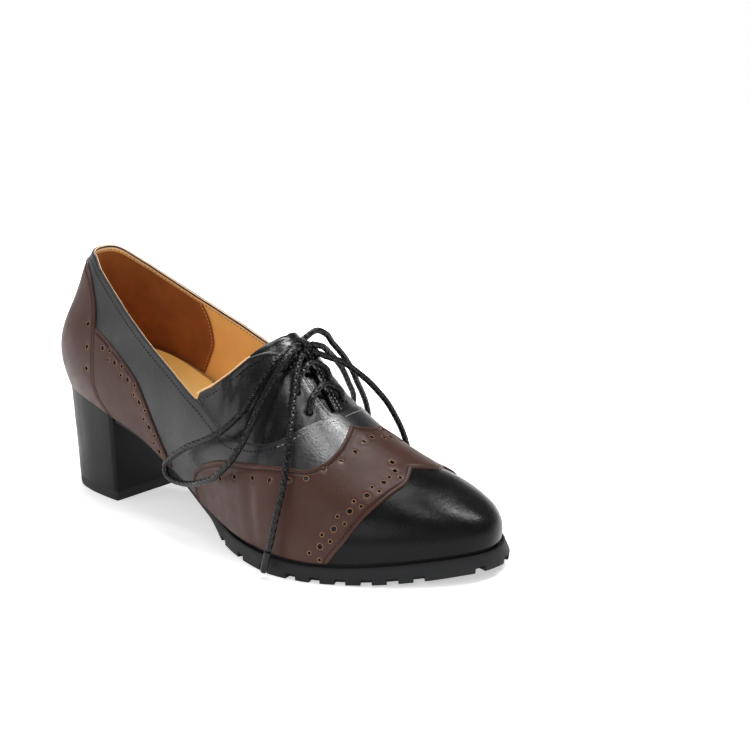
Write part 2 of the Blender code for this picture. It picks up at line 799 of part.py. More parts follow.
def make_tongue():
    top = {side: curve_through(about_lacing(TONGUE_TOP, side), 3) for side in (LATERAL, MEDIAL)}
    side_x = np.linspace(TONGUE_FRONT[0], TONGUE_TOP[0][0], 9)[:-1]
    side_offset = np.interp(side_x, (TONGUE_TOP[0][0], TONGUE_FRONT[0]), (TONGUE_TOP[0][1], TONGUE_FRONT[1]))
    edges = {side: about_lacing(np.stack([side_x, side_offset], axis=1), side) for side in (LATERAL, MEDIAL)}
    outline = joined([edges[LATERAL], top[LATERAL], top[MEDIAL][::-1], edges[MEDIAL][::-1]])
    obj = panel("tongue", over_vamp, outline, TONGUE_LIFT, 6.5, BLACK_LEATHER, 0.35)
    thicken(obj, TONGUE, outwards=False)


# Bottom of the shoe

def inset(ring, distance):
    """Move a closed ring of plan points inwards, by one distance or one for each point."""
    along = np.roll(ring, -1, 0) - np.roll(ring, 1, 0)
    along /= np.linalg.norm(along, axis=1)[:, None]
    inwards = np.stack([-along[:, 1], along[:, 0]], axis=1)
    return ring + inwards * np.reshape(distance, (-1, 1))


def with_height(ring, z):
    return np.column_stack([ring, z])


def notch_places(side, length):
    """Distances from the sole's back end to the middle of each lug notch on one side."""
    from_tip = [TOE_NOTCH[side], *NOTCH_ROW]
    return [length - distance for distance in from_tip[::-1]]


def sole_columns(side):
    """Distances along one side of the sole, and whether each of them lies in a notch."""
    wall = 0.15
    length = lengths_along(SOLE_HALF[side])[-1]
    notches = notch_places(side, length)
    stations = [(d, False) for d in np.linspace(0, notches[0] - NOTCH_WIDTH, 18)]
    stations += [((a + b) / 2, False) for a, b in zip(notches[:3], notches[1:4])]
    for place in notches:
        half = NOTCH_WIDTH / 2
        stations += [(place - half - wall, False), (place - half + wall, True),
                     (place + half - wall, True), (place + half + wall, False)]
    toe_run = (notches[-2] + NOTCH_WIDTH, notches[-1] - NOTCH_WIDTH)
    stations += [(d, False) for d in np.linspace(*toe_run, 3 if side == LATERAL else 2)]
    tip_run = length - notches[-1] - NOTCH_WIDTH
    if tip_run > 2:
        stations.append((length - 2.0, False))
    stations.sort()
    return np.array([d for d, _ in stations]), np.array([cut for _, cut in stations])


def toe_flare(edge):
    """How far the sole's side spreads towards the floor, round the medial half of the toe."""
    ahead = np.clip((edge[:, 0] - FLARE_START) / FLARE_RUN, 0, 1)
    inner = np.clip((edge[:, 1] - FLARE_SIDE) / FLARE_RUN, 0, 1)
    return TOE_FLARE * ahead * inner


def make_outsole():
    rings, cuts = [], []
    columns = {side: sole_columns(side) for side in (LATERAL, MEDIAL)}
    short = min(len(columns[side][0]) for side in columns)
    for side in (LATERAL, MEDIAL):
        distance, cut = columns[side]
        extra = len(distance) - short
        distance, cut = np.delete(distance, slice(1, 1 + extra)), np.delete(cut, slice(1, 1 + extra))
        points = at_length(SOLE_HALF[side], distance)
        rings.append(points if side == LATERAL else points[::-1])
        cuts.append(cut if side == LATERAL else cut[::-1])
    edge, cut = np.concatenate(rings), np.concatenate(cuts)
    top = smooth(SEAT, 1, edge[:, 0]) - GAP
    bottom = np.maximum(smooth(TREAD, 1, edge[:, 0]), 0.0)
    thickness = top - bottom
    roof = bottom + np.minimum(NOTCH_DEPTH, 0.35 * thickness)
    foot = np.where(cut, roof, bottom)
    flare = toe_flare(edge)
    loft("outsole", [
        with_height(inset(edge, 0.8), top),
        with_height(edge, top - np.minimum(1.2, 0.3 * thickness)),
        with_height(inset(edge, -flare), roof),
        with_height(inset(edge, np.where(cut, 0.9, 0.3) - flare), foot),
        with_height(inset(edge, NOTCH_REACH), foot),
        with_height(inset(edge, NOTCH_REACH + 0.3), bottom),
    ], BLACK_RUBBER, 0.6)


def make_insole():
    rings = []
    for side in (LATERAL, MEDIAL):
        half = FEATHER_HALF[side]
        points = at_length(half, np.linspace(1.5, lengths_along(half)[-1] - 1.5, 44))
        rings.append(points if side == LATERAL else points[::-1])
    edge = inset(np.concatenate(rings), WALL + 0.6)
    base = smooth(SEAT, 1, edge[:, 0]) + INSOLE_CLEARANCE
    loft("insole", [with_height(edge, base + INSOLE), with_height(edge, base)], TAN_LEATHER, 0.5)


def heel_outline():
    """Plan of the heel seat: lateral side from the breast to the back, then the medial side."""
    sides = []
    for side in (LATERAL, MEDIAL):
        half = FEATHER_HALF[side]
        points = at_length(half, np.linspace(arc_at_x(side, BREAST_X), 1.2, 16))
        sides.append(points if side == LATERAL else points[::-1])
    ring = inset(np.concatenate(sides)[::-1], -HEEL_FLANGE)
    ring[:, 0] = np.minimum(ring[:, 0], BREAST_X)
    return ring


def make_heel():
    seat = heel_outline()
    depth_scale = (HEEL_BOTTOM_FRONT - HEEL_BOTTOM_BACK) / BREAST_X
    sole = np.stack([HEEL_BOTTOM_BACK + seat[:, 0] * depth_scale, seat[:, 1] * HEEL_BOTTOM_WIDTH], axis=1)
    top = smooth(SEAT, 1, seat[:, 0]) - GAP
    bottom = TOP_PIECE + GAP
    waist = seat + (sole - seat) * HEEL_WAIST
    loft("heel", [with_height(seat, top), with_height(waist, (top + bottom) / 2),
                  with_height(sole, np.full(len(sole), bottom))], BLACK_LEATHER, 0.3)
    flat = np.ones(len(sole))
    loft("heel_top_piece", [with_height(sole, flat * TOP_PIECE), with_height(inset(sole, 0.4), flat * 0.0)],
         BLACK_RUBBER, 0.6)


# Lace

def make_bars():
    """Lace from a lateral eyelet to the medial one, arched over the slit; the top row goes to the knot."""
    seat = FACING_LIFT + LACE_RADIUS + GAP
    across = np.linspace(LATERAL, MEDIAL, 9)
    for row, x in enumerate(EYELET_X):
        pattern = np.stack([np.full(len(across), x), LACING_AXIS + EYELET_OFFSET * across], axis=1)
        lift = seat + BAR_ARCH * (1 - across ** 2)
        route = np.array([lifted(over_vamp, pattern[i:i + 1], lift[i])[0] for i in range(len(across))])
        if row > 0:
            cord(f"lace_bar_{row}", route, LACE_RADIUS, LACE_BLACK, 0.5)
            continue
        for start, name in ((route[0], "lace_tie_lateral"), (route[-1], "lace_tie_medial")):
            away = start - KNOT
            end = KNOT + away * KNOT_CLEARANCE / np.linalg.norm(away / KNOT_SIZE)
            cord(name, (start, (start + end) / 2 + (0, 0, TIE_ARCH), end), LACE_RADIUS, LACE_BLACK, 0.5)


def make_bow():
    knot = bpy.data.meshes.new("lace_knot")
    bm = bmesh.new()
    bmesh.ops.create_uvsphere(bm, u_segments=14, v_segments=8, radius=MM)
    bmesh.ops.scale(bm, vec=KNOT_SIZE, verts=bm.verts)
    bmesh.ops.translate(bm, vec=Vector(KNOT) * MM, verts=bm.verts)
    bm.to_mesh(knot)
    bm.free()
    new_object("lace_knot", knot, LACE_BLACK, 0.5)
    cord("lace_loop_lateral", LOOP_LATERAL, LACE_RADIUS, LACE_BLACK, 0.5)
    cord("lace_loop_medial", LOOP_MEDIAL, LACE_RADIUS, LACE_BLACK, 0.5)
    cord("lace_end_lateral", END_LATERAL, LACE_RADIUS, LACE_BLACK, 0.5)
    cord("lace_end_medial", END_MEDIAL, LACE_RADIUS, LACE_BLACK, 0.5)
    cord("aglet_lateral", AGLET_LATERAL, AGLET_RADIUS, LACE_BLACK, 0.3)
    cord("aglet_medial", AGLET_MEDIAL, AGLET_RADIUS, LACE_BLACK, 0.3)


# Whole object

LOOSE_LACE = ("lace_knot", "lace_loop_lateral", "lace_loop_medial", "lace_end_lateral", "lace_end_medial",
              "aglet_lateral", "aglet_medial")


def centre_over_origin():
    """Move every solid so that the shoe, without its loose lace, is centred over the origin."""
    graph = bpy.context.evaluated_depsgraph_get()
    corners = []
    for obj in PARTS.objects:
        if obj.name not in LOOSE_LACE:
            corners += [vertex.co[:2] for vertex in obj.evaluated_get(graph).to_mesh().vertices]
    corners = np.array(corners)
    middle = (corners.min(0) + corners.max(0)) / 2
    holder = bpy.data.objects.new("shoe", None)
    bpy.context.scene.collection.objects.link(holder)
    holder.location = (-middle[0], -middle[1], 0.0)
    for obj in PARTS.objects:
        obj.parent = holder


for old in list(bpy.data.objects):
    bpy.data.objects.remove(old)
PARTS = new_collection("laced_block_heel_pump")
make_upper()
make_vamp_panel()
make_backstay()
make_counters()
make_facing()
make_tongue()
make_outsole()
make_insole()
make_heel()
make_bars()
make_bow()
centre_over_origin()
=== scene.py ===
"""Looks of the laced block-heel pump: leather panels, lining, stitches, lug sole and lace.

Lengths are millimetres in the shoe's own frame (x from the back of the heel seat towards the toe,
-y lateral, z up) until world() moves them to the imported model's frame in metres.
"""
import math

import bmesh
import bpy
import numpy as np
from mathutils import Matrix, Vector
from mathutils.geometry import delaunay_2d_cdt

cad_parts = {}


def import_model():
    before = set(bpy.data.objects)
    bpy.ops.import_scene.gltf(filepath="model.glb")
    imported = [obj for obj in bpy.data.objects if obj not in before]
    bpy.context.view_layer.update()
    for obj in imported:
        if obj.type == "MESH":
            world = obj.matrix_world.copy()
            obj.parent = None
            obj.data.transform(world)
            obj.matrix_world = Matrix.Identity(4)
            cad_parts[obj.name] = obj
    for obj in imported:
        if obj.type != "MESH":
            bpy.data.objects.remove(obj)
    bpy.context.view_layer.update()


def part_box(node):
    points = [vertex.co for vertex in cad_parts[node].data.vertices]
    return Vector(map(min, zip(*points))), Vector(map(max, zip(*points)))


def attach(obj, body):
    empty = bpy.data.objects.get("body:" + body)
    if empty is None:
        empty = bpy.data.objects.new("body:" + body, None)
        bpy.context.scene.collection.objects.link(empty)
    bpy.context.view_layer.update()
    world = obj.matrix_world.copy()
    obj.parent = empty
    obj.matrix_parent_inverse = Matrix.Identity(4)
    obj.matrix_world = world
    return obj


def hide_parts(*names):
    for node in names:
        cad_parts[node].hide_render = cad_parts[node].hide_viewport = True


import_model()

MM = 0.001
LATERAL, MEDIAL = -1, 1
SIDES = (LATERAL, MEDIAL)
WALL = 1.8
LACE_RADIUS = 1.4

# Lower edge of the upper: the ends on the centre line, then x, lateral y, medial y
HEEL_BACK = (0.0, 0.0)
TOE_TIP = (234.8, 8.4)
FEATHER = (
    (2.6, -12.0, 11.6), (9.5, -20.0, 19.4), (21.0, -24.8, 24.2), (36.0, -27.4, 26.6), (55.0, -28.6, 26.2),
    (76.0, -28.4, 24.2), (96.0, -28.0, 22.4), (110.0, -29.4, 22.8), (124.0, -33.8, 25.6),
    (138.0, -39.4, 30.0), (152.0, -43.6, 35.0), (165.0, -45.2, 38.4), (179.0, -42.8, 39.8),
    (193.0, -37.0, 39.4), (206.0, -29.0, 37.0), (218.0, -19.4, 32.2), (227.0, -9.8, 25.4),
    (232.6, -1.0, 17.4),
)
# Height of that edge along the foot: x, z
SEAT = (
    (0.0, 49.2), (12.0, 48.7), (22.0, 47.6), (30.0, 46.1), (40.0, 43.8), (47.0, 41.8), (57.0, 39.3),
    (68.0, 35.3), (81.0, 27.8), (95.5, 18.4), (104.0, 13.6), (112.5, 10.9), (124.0, 9.0), (140.0, 8.6),
    (160.0, 8.8), (180.0, 8.2), (195.0, 8.7), (213.0, 10.5), (226.0, 12.1), (234.8, 12.9),
)
# Sections of the last: x, ridge z, ridge y, width power, height power, bulge, height of the bulge
SECTIONS = (
    (30.0, 128.5, 0.0, 1.85, 2.0, 4.8, 43.0),
    (60.0, 131.0, 0.0, 2.0, 2.1, 4.4, 62.0),
    (85.0, 126.0, 0.4, 2.0, 2.2, 6.2, 80.0),
    (106.0, 113.5, 1.2, 2.0, 2.2, 8.0, 95.0),
    (120.0, 101.0, 1.8, 2.0, 2.1, 7.0, 92.0),
    (134.0, 87.6, 1.6, 1.85, 2.0, 4.6, 80.0),
    (150.0, 71.2, -1.6, 1.75, 2.0, 2.8, 64.0),
    (163.0, 60.6, -4.6, 1.75, 1.98, 2.2, 54.0),
    (176.0, 51.5, -3.0, 1.75, 1.95, 1.8, 44.0),
    (190.0, 43.5, 1.6, 1.82, 2.0, 1.5, 34.0),
    (208.0, 36.8, 5.2, 1.95, 2.1, 1.4, 27.0),
)
RIDGE_Z, RIDGE_Y, WIDTH_POWER, HEIGHT_POWER, BULGE, BULGE_SPAN = range(1, 7)
RIDGE_EASE = 0.1
HEEL_AXIS = SECTIONS[0][0]
TOE_AXIS = SECTIONS[-1][0]
# Top line of the quarters: foot x, lateral z, medial z
TOPLINE = (
    (0.0, 114.4, 114.4), (3.0, 114.2, 113.3), (10.0, 113.2, 110.0), (18.0, 112.0, 106.6),
    (30.0, 107.0, 101.9), (37.0, 102.8, 98.4), (53.4, 93.4, 90.6), (68.0, 85.0, 84.7), (82.7, 76.0, 79.5),
    (96.0, 68.0, 74.0), (107.1, 61.6, 68.4),
)

# Patterns over the vamp: x, and distance across from the ridge; HALF_WRAP covers a whole side.
# Those named about the lacing are measured from its own axis, to both sides.
HALF_WRAP = 62.0
LACING_AXIS = -1.5
THROAT_SEAM = (
    (107.1, 41.5), (117.6, 41.3), (128.7, 40.9), (140.3, 37.4), (149.0, 33.2), (155.2, 27.6), (160.1, 19.1),
    (163.4, 10.0), (165.0, 1.5), (165.1, 0.0),
)
THROAT_FRONT = THROAT_SEAM[-1][0]
FACING_TOP = (
    (107.1, 41.0), (116.5, 34.6), (123.4, 27.8), (128.1, 20.2), (133.3, 12.5), (136.8, 7.9), (138.6, 4.4),
)
SLIT = ((138.6, 4.4), (148.0, 3.6), (158.0, 2.6), (162.8, 1.5))
TONGUE_TOP = ((126.4, 21.5), (128.6, 16.0), (131.0, 9.0), (132.4, 0.0))
TONGUE_FRONT = (170.0, 15.0)
EYELET_X = (140.9, 149.6, 158.3)
EYELET_OFFSET = 11.6
EYELET_RADIUS = 1.7
CAP_EDGE = (
    (202.4, 12.0), (200.7, 2.2), (198.9, -2.4), (201.3, -7.9), (203.0, -13.0), (202.0, -24.3), (198.5, -37.9),
    (194.1, -51.6), (188.4, -62.0),
)
WING_EDGE = (
    (102.6, -62.0), (102.6, -59.4), (104.8, -57.2), (109.4, -55.0), (117.2, -51.8), (128.1, -47.6),
    (139.7, -43.7), (153.1, -38.3), (163.4, -33.3), (170.9, -29.4), (174.6, -24.0), (175.4, -17.0),
    (173.8, -9.3), (170.9, -1.4), (173.0, 3.5), (173.4, 9.5),
)
# Holes of the lateral wing, as far as its axis; the medial side has their mirror images
WING_HOLES = (
    (116.4, -55.6), (127.2, -51.8), (137.7, -48.0), (148.8, -44.1), (158.4, -40.5), (166.5, -36.3),
    (172.2, -32.4), (176.1, -26.1), (179.1, -19.8), (180.3, -12.6), (179.1, -5.1), (178.6, 2.2), (179.4, 9.4),
)
CAP_LARGE_HOLES = (
    (185.4, -54.3), (189.3, -45.9), (192.3, -36.9), (194.7, -27.9), (196.5, -19.2), (195.8, -10.3),
    (192.0, -6.3),
)
CAP_SMALL_HOLES = (
    (181.2, -57.8), (185.2, -60.3), (189.0, -51.5), (192.5, -42.8), (195.2, -33.5), (197.5, -24.0),
    (199.5, -12.5), (185.5, -49.3), (189.0, -40.5), (191.8, -32.3), (194.2, -23.5), (196.4, -15.2),
)
WING_HOLE, LARGE_HOLE, SMALL_HOLE = 1.0, 1.12, 0.7
CAP_AXIS = CAP_EDGE[0][1]
CAP_MEDIAL_BACK = 3.0
WING_AXIS = WING_EDGE[-1][1]
CAP_PEAK = 2
WING_PEAK = -3

# Patterns round the heel: arc along the feather edge from the heel's back, share of the rise
RISE_WRAP = 100.0
BACKSTAY_EDGE = (
    (26.0, 0.53), (39.2, 0.462), (46.0, 0.39), (50.4, 0.322), (53.4, 0.262), (54.8, 0.212), (55.2, 0.16),
    (54.6, 0.094), (55.6, 0.05), (58.8, 0.022), (63.4, 0.0),
)
BACKSTAY_DROP = 5.0
COUNTER_EDGE = (
    (52.8, 0.29), (61.6, 0.266), (69.2, 0.238), (78.0, 0.204), (84.0, 0.178), (87.2, 0.154), (90.0, 0.126),
    (92.4, 0.098), (94.8, 0.07), (97.0, 0.042), (99.2, 0.018), (101.0, 0.0),
)
HEEL_LINING = (
    (69.0, 0.4), (69.8, 0.338), (71.5, 0.295), (72.3, 0.238), (72.3, 0.18), (69.8, 0.138), (65.8, 0.07),
)
HEEL_LINING_FOOT = ((65.8, 0.07), (42.0, 0.078), (0.0, 0.1))

# Outsole from the heel breast to the toe: x, lateral y, medial y; its underside: x, z
SOLE_TIP = (236.4, 7.6)
OUTSOLE = (
    (48.0, -27.8, 25.6), (72.0, -27.4, 23.4), (95.0, -27.2, 21.6), (110.0, -29.2, 22.4),
    (122.0, -34.0, 26.4), (136.0, -40.6, 32.0), (150.0, -45.4, 37.0), (164.0, -47.8, 40.6),
    (178.0, -45.6, 42.2), (192.0, -39.8, 41.6), (206.0, -31.4, 39.0), (218.0, -21.6, 34.2),
    (228.0, -11.0, 26.8), (234.0, -2.2, 18.4),
)
TREAD = (
    (48.0, 39.0), (57.0, 36.6), (68.0, 32.6), (81.0, 25.2), (95.0, 16.2), (104.0, 10.2), (111.0, 6.6),
    (117.0, 3.0), (122.0, 0.4), (125.0, 0.0), (186.0, 0.0), (206.0, 0.9), (220.0, 2.3), (236.4, 4.4),
)
NOTCH_DEPTH = 2.4
NOTCH_WIDTH = 4.6
NOTCH_REACH = 3.2
# Side notches, as distances along the edge from the sole's tip
NOTCH_ROW = (33.2, 43.9, 54.6, 65.3, 76.0, 86.7, 101.5, 119.5, 139.5)
TOE_FLARE = 1.7
FLARE_START = 202.0
FLARE_SIDE = -8.0
FLARE_RUN = 24.0
TOE_NOTCH = {LATERAL: 7.8, MEDIAL: 8.0}
BREAST_X = 47.2
HEEL_FLANGE = 0.8
HEEL_BOTTOM_BACK = 2.0
HEEL_BOTTOM_FRONT = 46.2
HEEL_BOTTOM_WIDTH = 0.93
TOP_PIECE = 4.6
HEEL_WAIST = 0.55
GAP = 0.4
LIP_DROP = 1.0

# Loose lace, as points along each cord
KNOT = (142.8, -4.4, 84.6)
LOOP_LATERAL = (
    (140.8, -9.1, 83.8), (140.4, -16.6, 80.2), (139.6, -26.4, 71.6), (137.8, -35.2, 61.4),
    (134.4, -39.4, 56.4), (129.6, -41.4, 52.2), (120.8, -42.0, 47.4), (111.6, -41.2, 43.2),
    (103.2, -40.2, 38.2), (97.6, -39.4, 34.4), (93.6, -39.0, 30.4), (93.6, -39.0, 27.0), (97.6, -39.4, 25.0),
    (105.1, -40.4, 25.0), (113.4, -42.0, 26.8), (121.8, -44.4, 30.0), (129.8, -45.8, 33.6),
    (136.8, -46.4, 39.0), (141.2, -45.2, 44.0), (143.8, -42.4, 49.8), (145.0, -38.8, 56.0),
    (145.4, -33.2, 64.4), (145.4, -26.4, 72.0), (145.4, -16.6, 81.4), (144.4, -9.2, 85.0),
)
END_LATERAL = (
    (146.4, -7.3, 82.2), (149.4, -14.4, 76.0), (154.2, -21.2, 68.0), (159.0, -28.0, 60.6),
    (163.4, -34.6, 53.0), (167.0, -40.2, 45.0), (169.2, -44.8, 37.2), (169.4, -48.2, 29.4),
    (169.0, -50.2, 22.6), (168.2, -51.2, 17.0), (167.0, -51.6, 12.6),
)
AGLET_LATERAL = ((166.8, -51.6, 12.0), (165.4, -51.7, 7.0), (164.0, -51.8, 2.3))
LOOP_MEDIAL = (
    (142.4, -0.7, 87.6), (143.5, 5.4, 89.8), (144.4, 11.0, 87.0), (144.2, 14.6, 82.9), (144.7, 18.4, 78.8),
    (145.0, 22.8, 73.8), (144.5, 27.7, 67.4), (143.4, 32.2, 61.1), (142.7, 36.2, 55.5), (142.0, 39.7, 49.5),
    (140.9, 42.4, 42.6), (138.7, 43.8, 36.8), (135.3, 43.8, 33.8), (132.1, 42.6, 35.4), (131.7, 41.0, 40.6),
    (134.1, 39.2, 46.6), (137.3, 36.5, 52.8), (139.7, 30.2, 61.3), (141.8, 23.7, 69.1), (143.3, 17.7, 74.6),
    (144.7, 12.2, 78.9), (145.7, 6.6, 82.8), (145.0, 0.3, 85.0),
)
END_MEDIAL = (
    (146.6, -1.3, 82.6), (149.9, 5.6, 79.0), (151.3, 12.0, 76.2), (152.4, 16.2, 73.4), (153.4, 20.7, 69.8),
    (155.2, 25.2, 65.5), (156.9, 29.4, 60.6), (159.0, 33.5, 54.8), (160.5, 37.2, 48.2), (161.8, 40.7, 40.8),
    (162.7, 43.3, 32.9), (163.1, 44.6, 24.5), (163.1, 44.9, 17.0), (162.9, 44.8, 12.8),
)
AGLET_MEDIAL = ((162.9, 44.8, 12.2), (162.8, 45.0, 7.0), (162.7, 45.2, 2.3))

# Camera in the shoe's frame, fitted to the photograph
CAMERA_EYE = (565.725, -461.421, 233.073)
CAMERA_AZIMUTH = 39.864
CAMERA_ELEVATION = 14.538
CAMERA_ROLL = -0.323
CAMERA_FOCAL_PX = 1507.77
PHOTO_WIDTH_PX = 750


# Curves and the last's surface

def smooth(table, column, place):
    """Read one column of a table as a smooth function of its first column."""
    key = np.array([row[0] for row in table])
    value = np.array([row[column] for row in table])
    place = np.clip(place, key[0], key[-1])
    step = np.diff(key)
    slope = np.diff(value) / step
    tangent = np.empty(len(key))
    tangent[1:-1] = (slope[:-1] * step[1:] + slope[1:] * step[:-1]) / (step[1:] + step[:-1])
    tangent[0], tangent[-1] = slope[0], slope[-1]
    span = np.clip(np.searchsorted(key, place) - 1, 0, len(key) - 2)
    t = (place - key[span]) / step[span]
    return ((1 + 2 * t) * (1 - t) ** 2 * value[span]
            + t * (1 - t) ** 2 * step[span] * tangent[span]
            + t * t * (3 - 2 * t) * value[span + 1]
            + t * t * (t - 1) * step[span] * tangent[span + 1])


def curve_through(points, per_span, closed=False):
    """Points of a smooth curve through the given points, in any number of dimensions."""
    point = np.array(points, float)
    if closed:
        before, after = np.roll(point, 1, 0), np.roll(point, -1, 0)
    else:
        before = np.vstack([2 * point[0] - point[1], point[:-1]])
        after = np.vstack([point[1:], 2 * point[-1] - point[-2]])
    back = np.linalg.norm(point - before, axis=1)[:, None]
    ahead = np.linalg.norm(after - point, axis=1)[:, None]
    tangent = ((point - before) / back * ahead + (after - point) / ahead * back) / (back + ahead)
    pieces = []
    for i in range(len(point) if closed else len(point) - 1):
        j = (i + 1) % len(point)
        t = np.arange(per_span)[:, None] / per_span
        pieces.append((1 + 2 * t) * (1 - t) ** 2 * point[i] + t * (1 - t) ** 2 * ahead[i] * tangent[i]
                      + t * t * (3 - 2 * t) * point[j] + t * t * (t - 1) * ahead[i] * tangent[j])
    if not closed:
        pieces.append(point[-1:])
    return np.concatenate(pieces)


def unit(vectors):
    """Vectors brought to length 1."""
    return vectors / np.linalg.norm(vectors, axis=-1, keepdims=True)


def left_of(along):
    """Unit vectors to the left of plan directions, where a doubled point has none."""
    along = along / np.maximum(np.linalg.norm(along, axis=1)[:, None], 1e-6)
    return np.stack([-along[:, 1], along[:, 0]], axis=1)


def lengths_along(line):
    """Distance along a polyline at each of its points."""
    return np.concatenate([[0.0], np.cumsum(np.linalg.norm(np.diff(line, axis=0), axis=1))])


def read_along(along, values, distance):
    """Rows of values between those at the given lengths."""
    return np.stack([np.interp(distance, along, column) for column in values.T], axis=1)


def at_length(line, distance):
    """Points of a polyline at the given distances along it."""
    return read_along(lengths_along(line), line, distance)


def evenly(line, step):
    """A polyline with points about one step apart."""
    length = lengths_along(line)[-1]
    return at_length(line, np.linspace(0, length, max(2, round(length / step) + 1)))


def outline_halves(back, table, tip, per_span=12):
    """Lateral and medial halves of an outline, each a polyline from its back end to its tip."""
    lateral = [(row[0], row[1]) for row in table]
    medial = [(row[0], row[2]) for row in table]
    if back is None:
        whole = curve_through(lateral + [tip] + medial[::-1], per_span)
        middle = len(lateral) * per_span
        return {LATERAL: whole[:middle + 1], MEDIAL: whole[middle:][::-1]}
    whole = curve_through([back] + lateral + [tip] + medial[::-1], per_span, closed=True)
    middle = (len(lateral) + 1) * per_span
    return {LATERAL: whole[:middle + 1], MEDIAL: np.vstack([whole[middle:], whole[:1]])[::-1]}


FEATHER_HALF = outline_halves(HEEL_BACK, FEATHER, TOE_TIP)
SOLE_HALF = outline_halves(None, OUTSOLE, SOLE_TIP)


def foot_at_x(side, x):
    """Point of the feather edge at a distance x along the foot."""
    half = FEATHER_HALF[side]
    return np.stack([x, np.interp(x, half[:, 0], half[:, 1])], axis=1)


def arc_at_x(side, x):
    """Arc along the feather edge, from the heel's back, of the point at x."""
    half = FEATHER_HALF[side]
    return np.interp(x, half[:, 0], lengths_along(half))


def eased_to_one(value):
    """A value that stops at 1 without a kink."""
    return np.where(value < 0.8, value, 1 - np.maximum(1.2 - value, 0) ** 2 / 0.8)


def section(foot, rise):
    """Points of the last over feather points, at a rise of 0 (feather edge) to 1 (ridge)."""
    rise = np.clip(rise, 0.0, 1.0)
    x = np.clip(foot[:, 0], HEEL_AXIS, TOE_AXIS)
    centre = np.stack([x, smooth(SECTIONS, RIDGE_Y, x)], axis=1)
    arm = foot - centre
    reach = np.linalg.norm(arm, axis=1)
    outward = arm / reach[:, None]
    seat = smooth(SEAT, 1, foot[:, 0])
    height = (smooth(SECTIONS, RIDGE_Z, x) - seat) * np.sin(rise * math.pi / 2) ** (
        2 / smooth(SECTIONS, HEIGHT_POWER, x))
    share = np.maximum(np.cos(rise * math.pi / 2), 0.0) ** (2 / smooth(SECTIONS, WIDTH_POWER, x))
    swell = smooth(SECTIONS, BULGE, x) * np.sin(
        math.pi * eased_to_one(height / smooth(SECTIONS, BULGE_SPAN, x)))
    run = reach * share + swell * np.tanh(share / RIDGE_EASE)
    ridge_slope = smooth(SECTIONS, RIDGE_Z, TOE_AXIS) - smooth(SECTIONS, RIDGE_Z, TOE_AXIS - 1)
    toe_lean = ridge_slope * (foot[:, 0] > TOE_AXIS) * reach * share * outward[:, 0] * (1 - share ** 2)
    return np.stack([centre[:, 0] + outward[:, 0] * run,
                     centre[:, 1] + outward[:, 1] * run,
                     seat + height + toe_lean], axis=1)


def rise_at_height(foot, z):
    """Rise at which the last reaches a height over each feather point."""
    x = np.clip(foot[:, 0], HEEL_AXIS, TOE_AXIS)
    seat = smooth(SEAT, 1, foot[:, 0])
    share = np.clip((z - seat) / (smooth(SECTIONS, RIDGE_Z, x) - seat), 0.0, 1.0)
    return np.arcsin(share ** (smooth(SECTIONS, HEIGHT_POWER, x) / 2)) * 2 / math.pi


def over_vamp(pattern):
    """Place a pattern of x and distance across the ridge on the last."""
    foot = np.where((pattern[:, 1] < 0)[:, None], foot_at_x(LATERAL, pattern[:, 0]),
                    foot_at_x(MEDIAL, pattern[:, 0]))
    return section(foot, 1 - np.abs(pattern[:, 1]) / HALF_WRAP)


def round_heel(pattern):
    """Place a pattern of arc from the heel's back (lateral is positive) and rise on the last."""
    arc = np.abs(pattern[:, 0])
    foot = np.where((pattern[:, 0] > 0)[:, None], at_length(FEATHER_HALF[LATERAL], arc),
                    at_length(FEATHER_HALF[MEDIAL], arc))
    return section(foot, pattern[:, 1] / RISE_WRAP)


def normals_of(place, pattern):
    """Unit normals of the last's surface under a pattern."""
    step = 0.4
    along = place(pattern + (step, 0)) - place(pattern - (step, 0))
    across = place(pattern + (0, step)) - place(pattern - (0, step))
    return unit(np.cross(along, across))


def lifted(place, pattern, lift):
    """Place a pattern on the last and move it outwards along the surface normal."""
    pattern = np.asarray(pattern, float)
    return place(pattern) + np.reshape(lift, (-1, 1)) * normals_of(place, pattern)


# Patterns laid flat: the first coordinate as it is, then the length on the last across it

def across_lengths(place, keys, across):
    """Length on the last from a pattern's zero line, for each key along it and value across it."""
    key, value = np.meshgrid(keys, across, indexing="ij")
    grid = place(np.stack([key.ravel(), value.ravel()], axis=1)).reshape(*key.shape, 3)
    run = np.linalg.norm(np.diff(grid, axis=1), axis=2)
    length = np.concatenate([np.zeros((len(keys), 1)), np.cumsum(run, axis=1)], axis=1)
    zero = np.argmin(np.abs(across))
    return length - length[:, zero:zero + 1]


def flat_plan(place, keys, across):
    return keys, across, across_lengths(place, keys, across)


FLAT_PLANS = {
    over_vamp: flat_plan(over_vamp, np.arange(92.0, 222.0, 2.0), np.linspace(-HALF_WRAP, HALF_WRAP, 125)),
    round_heel: flat_plan(round_heel, np.arange(-120.0, 121.0, 2.0), np.linspace(0.0, 90.0, 91)),
}


def between(keys, value):
    """The span of evenly spaced keys that holds each value, and the share of the way through it."""
    place = np.clip((value - keys[0]) / (keys[1] - keys[0]), 0, len(keys) - 1.0001)
    span = place.astype(int)
    return span, place - span


def to_flat(place, pattern):
    keys, across, length = FLAT_PLANS[place]
    pattern = np.asarray(pattern, float)
    i, s = between(keys, pattern[:, 0])
    j, t = between(across, pattern[:, 1])
    low = length[i, j] * (1 - t) + length[i, j + 1] * t
    high = length[i + 1, j] * (1 - t) + length[i + 1, j + 1] * t
    return np.stack([pattern[:, 0], low * (1 - s) + high * s], axis=1)


